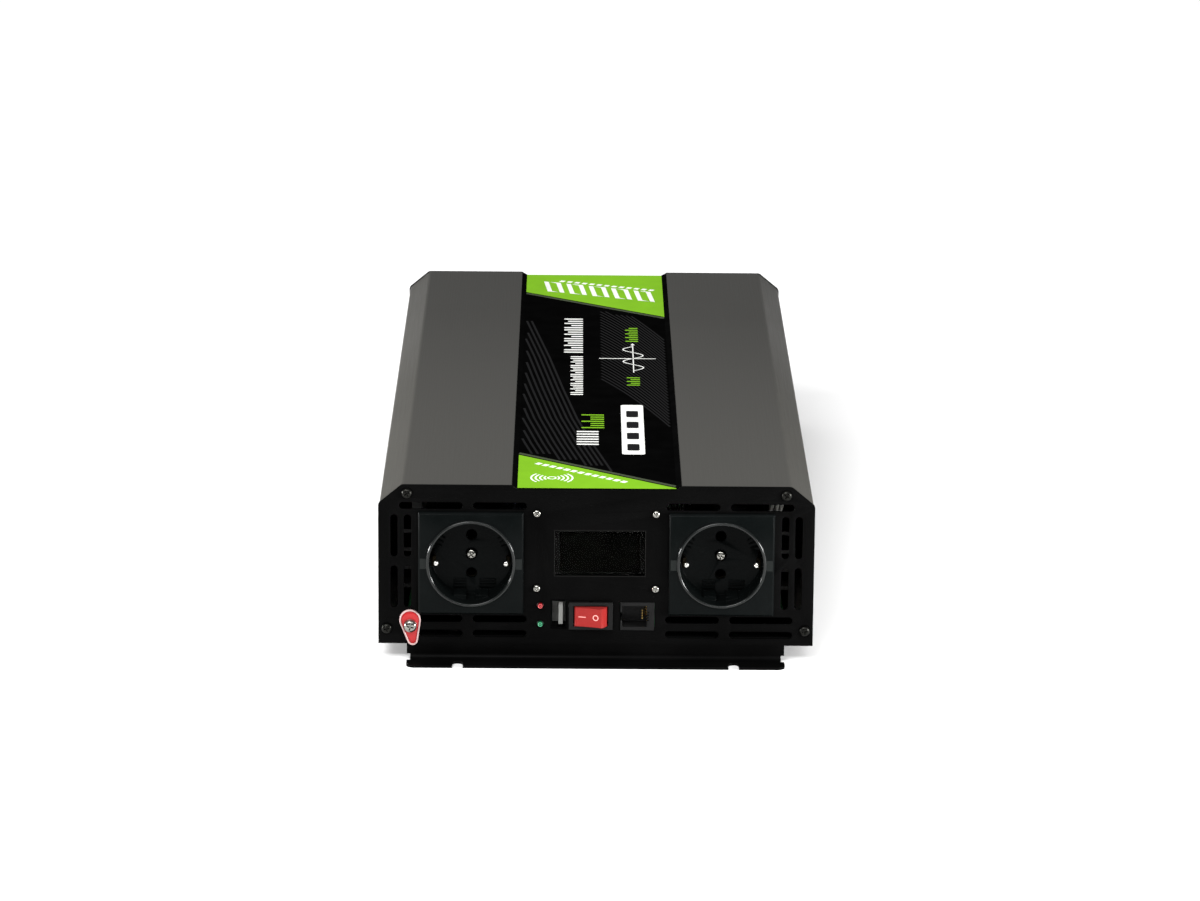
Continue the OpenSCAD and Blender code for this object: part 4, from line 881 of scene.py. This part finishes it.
def makeDisplay():
    s = {key: value * mm for key, value in displayShape.items()}
    low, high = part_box("display_window")
    left, right, bottom, top = low.x + s["lap"], high.x - s["lap"], low.z + s["lap"], high.z - s["lap"]
    side, end, line, back = s["sideStrip"], s["endStrip"], s["line"], high.y - s["back"]
    mask, edge = bmesh.new(), bmesh.new()
    for x0, x1, z0, z1 in ((left, left + side, bottom, top), (right - side, right, bottom, top),
                           (left + side, right - side, top - end, top),
                           (left + side, right - side, bottom, bottom + end)):
        merged(mask, eased(boxed((x0, back - s["thick"], z0), (x1, back, z1)), s["ease"]))
    for x0, x1, z0, z1 in ((left - line, right + line, bottom - line, bottom),
                           (left - line, right + line, top, top + line),
                           (left - line, left, bottom, top), (right, right + line, bottom, top)):
        merged(edge, boxed((x0, frontY - s["lineRise"], z0), (x1, frontY + s["lineSink"], z1)))
    finished("displayMask", mask, "maskBlack")
    finished("displayEdge", edge, "edgeLine")


makeDisplay()
print("display made")


# Coils and leads that show through the upper slots

coilShape = {
    "inner": 13.0, "ease": 1.2, "turns": 40, "wire": 2.0, "steps": 20, "spread": 0.9, "squareness": 0.45,
}
leadShape = {"ceiling": 8.5, "radius": 0.95, "routes": ((84.2, 14, 44), (86.6, 13, 47), (88.9, 15, 50))}


def tube(points, radius, sides=8):
    # Round bar swept along points, closed at both ends
    bm = bmesh.new()
    rings = []
    side = Vector((0, 0, 1))
    for i, point in enumerate(points):
        along = (points[min(i + 1, len(points) - 1)] - points[max(i - 1, 0)]).normalized()
        steep = abs(along.dot(side)) >= 0.98
        side = along.orthogonal().normalized() if steep else (side - along * side.dot(along)).normalized()
        other = along.cross(side)
        rings.append([bm.verts.new(point + (side * math.cos(a) + other * math.sin(a)) * radius)
                      for a in around(sides)])
    for first, second in zip(rings, rings[1:]):
        bridged(bm, first, second)
    bm.faces.new(rings[0][::-1])
    bm.faces.new(rings[-1])
    return bm


def smoothPath(corners, steps=8):
    # Catmull-Rom curve through corner points
    path = []
    padded = [corners[0]] + corners + [corners[-1]]
    for a, b, c, d in zip(padded, padded[1:], padded[2:], padded[3:]):
        for i in range(steps):
            t = i / steps
            bend, twist = 2 * a - 5 * b + 4 * c - d, 3 * b - a - 3 * c + d
            path.append(0.5 * (2 * b + (c - a) * t + bend * t * t + twist * t ** 3))
    return path + [corners[-1]]


def makeCoil():
    s = coilShape
    low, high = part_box("output_choke")
    centre = (low + high) / 2
    outer, thick = (high.x - low.x) / 2, (high.y - low.y) / 2
    inner, wire = s["inner"] * mm, s["wire"] * mm / 2
    halfWide, midRadius = (outer - inner) / 2 + wire, (outer + inner) / 2
    standIn("output_choke", eased(copied("output_choke"), s["ease"] * mm, 30, 3), "ferrite")
    points = []
    total = s["turns"] * s["steps"]
    for i in range(total + 1):
        # A squared oval that winds round the core's section
        angle = 2 * math.pi * s["spread"] * (i / total - 0.5) + math.pi / 2
        turn = 2 * math.pi * i / s["steps"]
        across, deep = (size * math.copysign(abs(wave) ** s["squareness"], wave)
                        for size, wave in ((halfWide, math.cos(turn)), (thick + wire, math.sin(turn))))
        radius = midRadius + across
        points.append(centre + Vector((radius * math.cos(angle), deep, radius * math.sin(angle))))
    finished("chokeTurns", tube(points, wire), "leadWhite", sharp=60)


def makeLeads():
    # Sleeved leads that rise beside the right-hand outlet and turn down to the board
    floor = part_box("main_board")[1].z
    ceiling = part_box("top_cover")[1].z - leadShape["ceiling"] * mm
    bm = bmesh.new()
    for x, near, far in leadShape["routes"]:
        corners = [(x - 6, near + 22, floor), (x - 5, near + 18, floor + 20 * mm),
                   (x - 2, near + 4, ceiling - 14 * mm), (x, near + 2, ceiling), (x, far, ceiling - 4 * mm),
                   (x, far + 4, floor + 30 * mm), (x, far + 6, floor)]
        path = [Vector((across * mm, frontY + depth * mm, level)) for across, depth, level in corners]
        merged(bm, tube(smoothPath(path), leadShape["radius"] * mm))
    # The leads are grey rather than white: painted shade inside the case
    finished("slotLeads", bm, "pale_plastic", sharp=60)


makeCoil()
makeLeads()
print("coil and leads made")


# Fan rotors with twisted, cambered blades

fanShape = {
    "blades": 7, "hub": 15.0, "tip": 27.2, "rootPitch": 52, "tipPitch": 34, "thick": 1.3, "camber": 1.3,
    "depth": 13.0, "recess": 1.5, "overlap": 0.4, "midDepth": 7.4, "lean": 3.5, "rows": 9,
    "cup": ((0, 0), (13.4, 0), (14.5, -0.4), (15, -1.6), (15, -14.6), (13.5, -14.6), (13.5, -2), (1.5, -2),
            (1.5, -17.5), (0, -17.5)),
}


def bladeSkin(rotor, centre, outFace, start, skin):
    # One skin of a blade as a grid of corners, with the loop round its rim
    s = fanShape
    root = (s["hub"] - s["overlap"]) * mm
    grid = []
    for i in range(s["rows"]):
        share = i / (s["rows"] - 1)
        radius = root + (s["tip"] * mm - root) * share
        pitch = math.radians(s["rootPitch"] + (s["tipPitch"] - s["rootPitch"]) * share)
        row = []
        for k in range(s["rows"]):
            along = k / (s["rows"] - 1) - 0.5
            depth = s["depth"] * mm * along * math.sin(pitch) * 1.15
            sweep = s["depth"] * mm * along * math.cos(pitch) * 1.6
            wall = skin * s["thick"] * mm / 2 * (1 - 0.6 * abs(2 * along) ** 3)
            off = s["camber"] * mm * (1 - 4 * along * along) + wall
            angle = start + (sweep + off * math.sin(pitch) + s["lean"] * mm * share ** 1.5) / radius
            y = outFace - s["midDepth"] * mm + depth - off * math.cos(pitch)
            x, z = centre.x + radius * math.cos(angle), centre.z + radius * math.sin(angle)
            row.append(rotor.verts.new((x, y, z)))
        grid.append(row)
    for first, second in zip(grid, grid[1:]):
        for k in range(s["rows"] - 1):
            rotor.faces.new((first[k], first[k + 1], second[k + 1], second[k]))
    return grid[0] + [row[-1] for row in grid[1:]] + grid[-1][-2::-1] + [row[0] for row in grid[-2:0:-1]]


def makeRotor(side):
    node = side + "_fan_rotor"
    low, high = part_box(node)
    centre = (low + high) / 2
    outFace = rearY - (sheetThickness + fanShape["recess"] * mm)
    rotor = bmesh.new()
    cup = spun([(r * mm, h * mm) for r, h in fanShape["cup"]], 56)
    merged(rotor, cup, standing(centre.x, outFace, centre.z, 1))
    for start in around(fanShape["blades"]):
        bridged(rotor, *[bladeSkin(rotor, centre, outFace, start, skin) for skin in (-1, 1)])
    standIn(node, rotor, body=side + "_rotor", sharp=40)


makeRotor("left")
makeRotor("right")
print("rotors made")


# Battery studs: a thread and a six-sided head

studShape = {
    "radius": 4.0, "root": 3.55, "point": 0.9, "lead": 0.6, "pitch": 1.25, "headDepth": 5.3, "runOut": 1.5,
    "halfFlats": 6.5, "ease": 0.4,
}


def makeStuds():
    s = studShape
    bm = bmesh.new()
    radius, root, pitch, headDepth = (s[key] * mm for key in ("radius", "root", "pitch", "headDepth"))
    for low, high in islands("terminal_studs"):
        centre = (low + high) / 2
        length = high.y - low.y
        profile = [(0, 0), (root * s["point"], 0), (root, -0.5 * mm)]
        turns = int((length - headDepth - s["runOut"] * mm) / pitch)
        for i in range(turns):
            top = -s["lead"] * mm - pitch * i
            profile += [(root, top), (radius, top - 0.45 * pitch), (radius, top - 0.55 * pitch)]
        profile += [(root, -s["lead"] * mm - pitch * turns), (root, -length), (0, -length)]
        merged(bm, spun(profile, 40), standing(centre.x, high.y, centre.z, 1))
        corner = s["halfFlats"] * mm / math.cos(math.pi / 6)
        outline = [(centre.x + corner * math.cos(a), centre.z + corner * math.sin(a)) for a in around(6)]
        merged(bm, eased(pulled(outline, low.y, low.y + headDepth), s["ease"] * mm))
    standIn("terminal_studs", bm, sharp=30)


makeStuds()
print("studs threaded")


# Outlets: rounded rims, side pads in a lighter plastic for painted light, spring fins, floor ribs, and bright tips
# on the clips, whose near-black brass is painted shade

outletShape = {
    "well": 19.75, "rim": 1.55, "bead": 1.0, "beadStart": 0.3, "beadSteps": 10, "face": 3.0, "floor": 14.5,
    "edge": 25.0, "padTall": 4.9, "padRise": 0.35, "padGap": (0.2, 0.9),
    "tip": 16.7, "tipRadius": 1.45, "tipRise": 1.0, "tipDepth": 1.5, "tipDrop": 1.2, "tipTurn": 20,
    "fins": (149, 157, 165), "finReach": (14.6, 19.5), "finWide": 0.4,
    "ribs": (-12.6, -14.3, -16.0, -17.6), "ribSpans": ((-8.5, -2.6), (4.0, 11.4)), "ribHalf": 0.35,
}


def makeOutlet(side):
    s = outletShape
    low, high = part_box(side + "_socket_face")
    x0, z0 = (low.x + high.x) / 2, (low.z + high.z) / 2
    faceY, floorY = frontY - s["face"] * mm, frontY + s["floor"] * mm
    trim, pads, tips = bmesh.new(), bmesh.new(), bmesh.new()

    # Half-round bead on the rim
    inner, outer = s["well"] * mm, (s["well"] + s["rim"]) * mm
    bead = [(inner, -0.4 * mm), (inner, s["beadStart"] * mm)]
    for i in range(s["beadSteps"] + 1):
        a = math.pi * (1 - i / s["beadSteps"])
        bead.append(((inner + outer) / 2 + (outer - inner) / 2 * math.cos(a),
                     (s["beadStart"] + (s["bead"] - s["beadStart"]) * math.sin(a)) * mm))
    rim = turned(bead + [(outer, -0.4 * mm)], 96)
    rim.transform(standing(x0, faceY, z0, -1))
    finished(side + "OutletRim", rim, "outletGloss", sharp=60)

    tall, rise = s["padTall"] / 2 * mm, s["padRise"] * mm
    dome = [(math.sin(a) * s["tipRadius"] * mm, math.cos(a) * s["tipRise"] * mm)
            for a in (math.pi / 16 * i for i in range(1, 9))]
    dome = [(0, s["tipRise"] * mm)] + dome + [(s["tipRadius"] * mm, -0.3 * mm), (0, -0.3 * mm)]
    for sign in (-1, 1):
        # Flat pad between the rim and the plate's edge, in a lighter copy of the outlet plastic: painted light
        near, far = x0 + sign * (outer - s["padGap"][0] * mm), x0 + sign * (s["edge"] - s["padGap"][1]) * mm
        outline = [(near, z0 - tall), (far, z0 - tall), (far, z0 + tall), (near, z0 + tall)]
        merged(pads, eased(pulled(outline, faceY - rise, faceY + 0.3 * mm), 0.12 * mm))
        for angle in s["fins"]:
            # Thin fins above each clip
            turn = math.radians(angle)
            out = Vector((sign * -math.cos(turn), math.sin(turn)))
            across = Vector((-out.y, out.x)) * s["finWide"] / 2 * mm
            a, b = (Vector((x0, z0)) + out * reach * mm for reach in s["finReach"])
            outline = [a - across, b - across, b + across, a + across]
            merged(trim, eased(pulled(outline, floorY - 1.0 * mm, floorY + 0.2 * mm), 0.08 * mm))
        # Rounded tip of the clip, turned a little towards the middle
        place = standing(x0 + sign * s["tip"] * mm, frontY + s["tipDepth"] * mm, z0 - s["tipDrop"] * mm, -1)
        turn = Matrix.Rotation(math.radians(-sign * s["tipTurn"]), 4, "Y")
        merged(tips, spun(dome, 24), place @ turn)
    for height in s["ribs"]:
        for start, end in s["ribSpans"]:
            reach = math.sqrt(max(0.0, (s["well"] - 0.3) ** 2 - height ** 2))
            left, right = max(start, -reach), min(end, reach)
            if right - left > 1:
                rib = boxed((x0 + left * mm, floorY - 0.7 * mm, z0 + (height - s["ribHalf"]) * mm),
                            (x0 + right * mm, floorY + 0.2 * mm, z0 + (height + s["ribHalf"]) * mm))
                merged(trim, eased(rib, 0.15 * mm))
    finished(side + "OutletTrim", trim, "socket_plastic", sharp=40)
    # The side pads are a lighter copy of the outlet plastic: painted light
    finished(side + "OutletPads", pads, "padPaintedLight", sharp=40)
    finished(side + "ClipTips", tips, "tipNickel", sharp=40)


makeOutlet("left")
makeOutlet("right")
print("outlets trimmed")


# Lamps: a ringed lens, with a pale ring and dot painted on as highlights where it would catch the light

lampShape = {"body": 1.12, "ring": 0.9, "groove": 0.6, "wire": 0.15, "dot": 0.26}


def makeLamp(colour):
    node = colour + "_lamp"
    low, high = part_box(node)
    length, collar = high.y - low.y, (high.x - low.x) / 2
    place = standing((low.x + high.x) / 2, low.y, (low.z + high.z) / 2, -1)
    body, ring, groove, wire, dot = (value * mm for value in lampShape.values())
    lens = spun([(0, -0.05 * mm), (groove * 0.45, -0.09 * mm), (groove * 0.8, -0.22 * mm), (groove, -0.42 * mm),
                 ((groove + ring) / 2, -0.16 * mm), (ring, -0.08 * mm), (body * 0.93, -0.2 * mm), (body, -0.5 * mm),
                 (body, -3.2 * mm), (collar, -3.2 * mm), (collar, -4.2 * mm), (body, -4.2 * mm), (body, -length),
                 (0, -length)], 40)
    lens.transform(place)
    standIn(node, lens, sharp=50)
    # The ring and dot are painted highlights in a pale copy of the lamp's colour
    glint = turned([(ring + wire * math.cos(a), wire * math.sin(a) - 0.02 * mm) for a in around(8)], 32)
    merged(glint, spun([(0, 0.08 * mm), (dot * 0.7, 0.04 * mm), (dot, -0.2 * mm), (0, -0.2 * mm)], 16))
    glint.transform(place)
    finished(colour + "Glint", glint, "lamp_" + colour + "_pale", sharp=60)


makeLamp("red")
makeLamp("green")
print("lamps made")


# Floor, light and camera

stage = {
    "floorSize": 14.0, "floorTones": (shade(252, 252, 252), shade(250, 250, 250)), "horizonTone": 0.08,
    "overheadTone": 0.86, "rampHeights": (0.15, 0.8),
}
lights = {
    # place, aim, size and watts
    "keyFront": ((-0.7, -1.7, 1.7), (0, -0.1, 0.05), (1.2, 0.9), 34),
    "stripFront": ((0.1, -1.5, 1.1), (0, frontY, 0.05), (1.3, 0.07), 7),
    "edgeLeft": ((-1.0, -0.22, 0.14), (-0.1, 0.0, 0.08), (0.4, 0.12), 20),
    "edgeRight": ((0.62, -0.5, 0.14), (0.1, -0.15, 0.08), (0.3, 0.12), 8),
    "floorWash": ((0, 0.9, 1.2), (0, 2.6, 0), (2.0, 0.5), 10),
}
shot = {
    "azimuth": -0.351, "elevation": 15.049, "roll": 0.502, "distance": 2.33696, "lens": 148.58, "sensor": 36,
    "aim": (1.311 * mm, frontY, 104.04 * mm), "clip": (0.05, 50),
}


def makeFloor():
    half = stage["floorSize"] / 2
    mesh = bpy.data.meshes.new("floor")
    corners = [(-half, -half, 0), (half, -half, 0), (half, half, 0), (-half, half, 0)]
    mesh.from_pydata(corners, [], [(0, 1, 2, 3)])
    floor = bpy.data.objects.new("floor", mesh)
    bpy.context.scene.collection.objects.link(floor)
    paper = Finish("floorPaper", Specular_IOR_Level=0.2, Roughness=0.9)
    paper.set(Base_Color=paper.mix(paper.noise(0.4, 2), *stage["floorTones"]))
    mesh.materials.append(paper.material)


def makeWorld():
    # Bright overhead and dim towards the horizon
    world = bpy.data.worlds.new("studio")
    bpy.context.scene.world = world
    world.use_nodes = True
    sky = Graph(world.node_tree)
    height = sky.node("ShaderNodeSeparateXYZ", {}, {0: sky.node("ShaderNodeTexCoord")}, out=2)
    background = world.node_tree.nodes["Background"]
    background.inputs[0].default_value = (1, 1, 1, 1)
    span = stage["overheadTone"] - stage["horizonTone"]
    sky.feed(background.inputs[1], stage["horizonTone"] + span * sky.ramp(height, *stage["rampHeights"]))


def makeLight(name, place, aim, size, power):
    lamp = bpy.data.lights.new(name, "AREA")
    lamp.shape = "RECTANGLE"
    lamp.size, lamp.size_y = size
    lamp.energy = power
    holder = bpy.data.objects.new(name, lamp)
    bpy.context.scene.collection.objects.link(holder)
    holder.location = place
    holder.rotation_euler = (Vector(aim) - Vector(place)).to_track_quat("-Z", "Y").to_euler()


def makeCamera():
    camera = bpy.data.cameras.new("camera")
    camera.lens, camera.sensor_width = shot["lens"], shot["sensor"]
    camera.clip_start, camera.clip_end = shot["clip"]
    holder = bpy.data.objects.new("camera", camera)
    bpy.context.scene.collection.objects.link(holder)
    bpy.context.scene.camera = holder
    turns = ((shot["azimuth"], "Z"), (90 - shot["elevation"], "X"), (shot["roll"], "Z"))
    azimuth, tilt, roll = (Matrix.Rotation(math.radians(angle), 4, axis) for angle, axis in turns)
    back = Matrix.Translation((0, 0, shot["distance"]))
    holder.matrix_world = Matrix.Translation(shot["aim"]) @ azimuth @ tilt @ roll @ back


makeFloor()
makeWorld()
for name, setting in lights.items():
    makeLight(name, *setting)
makeCamera()
bpy.context.scene.view_settings.view_transform = "Standard"
print("stage set")
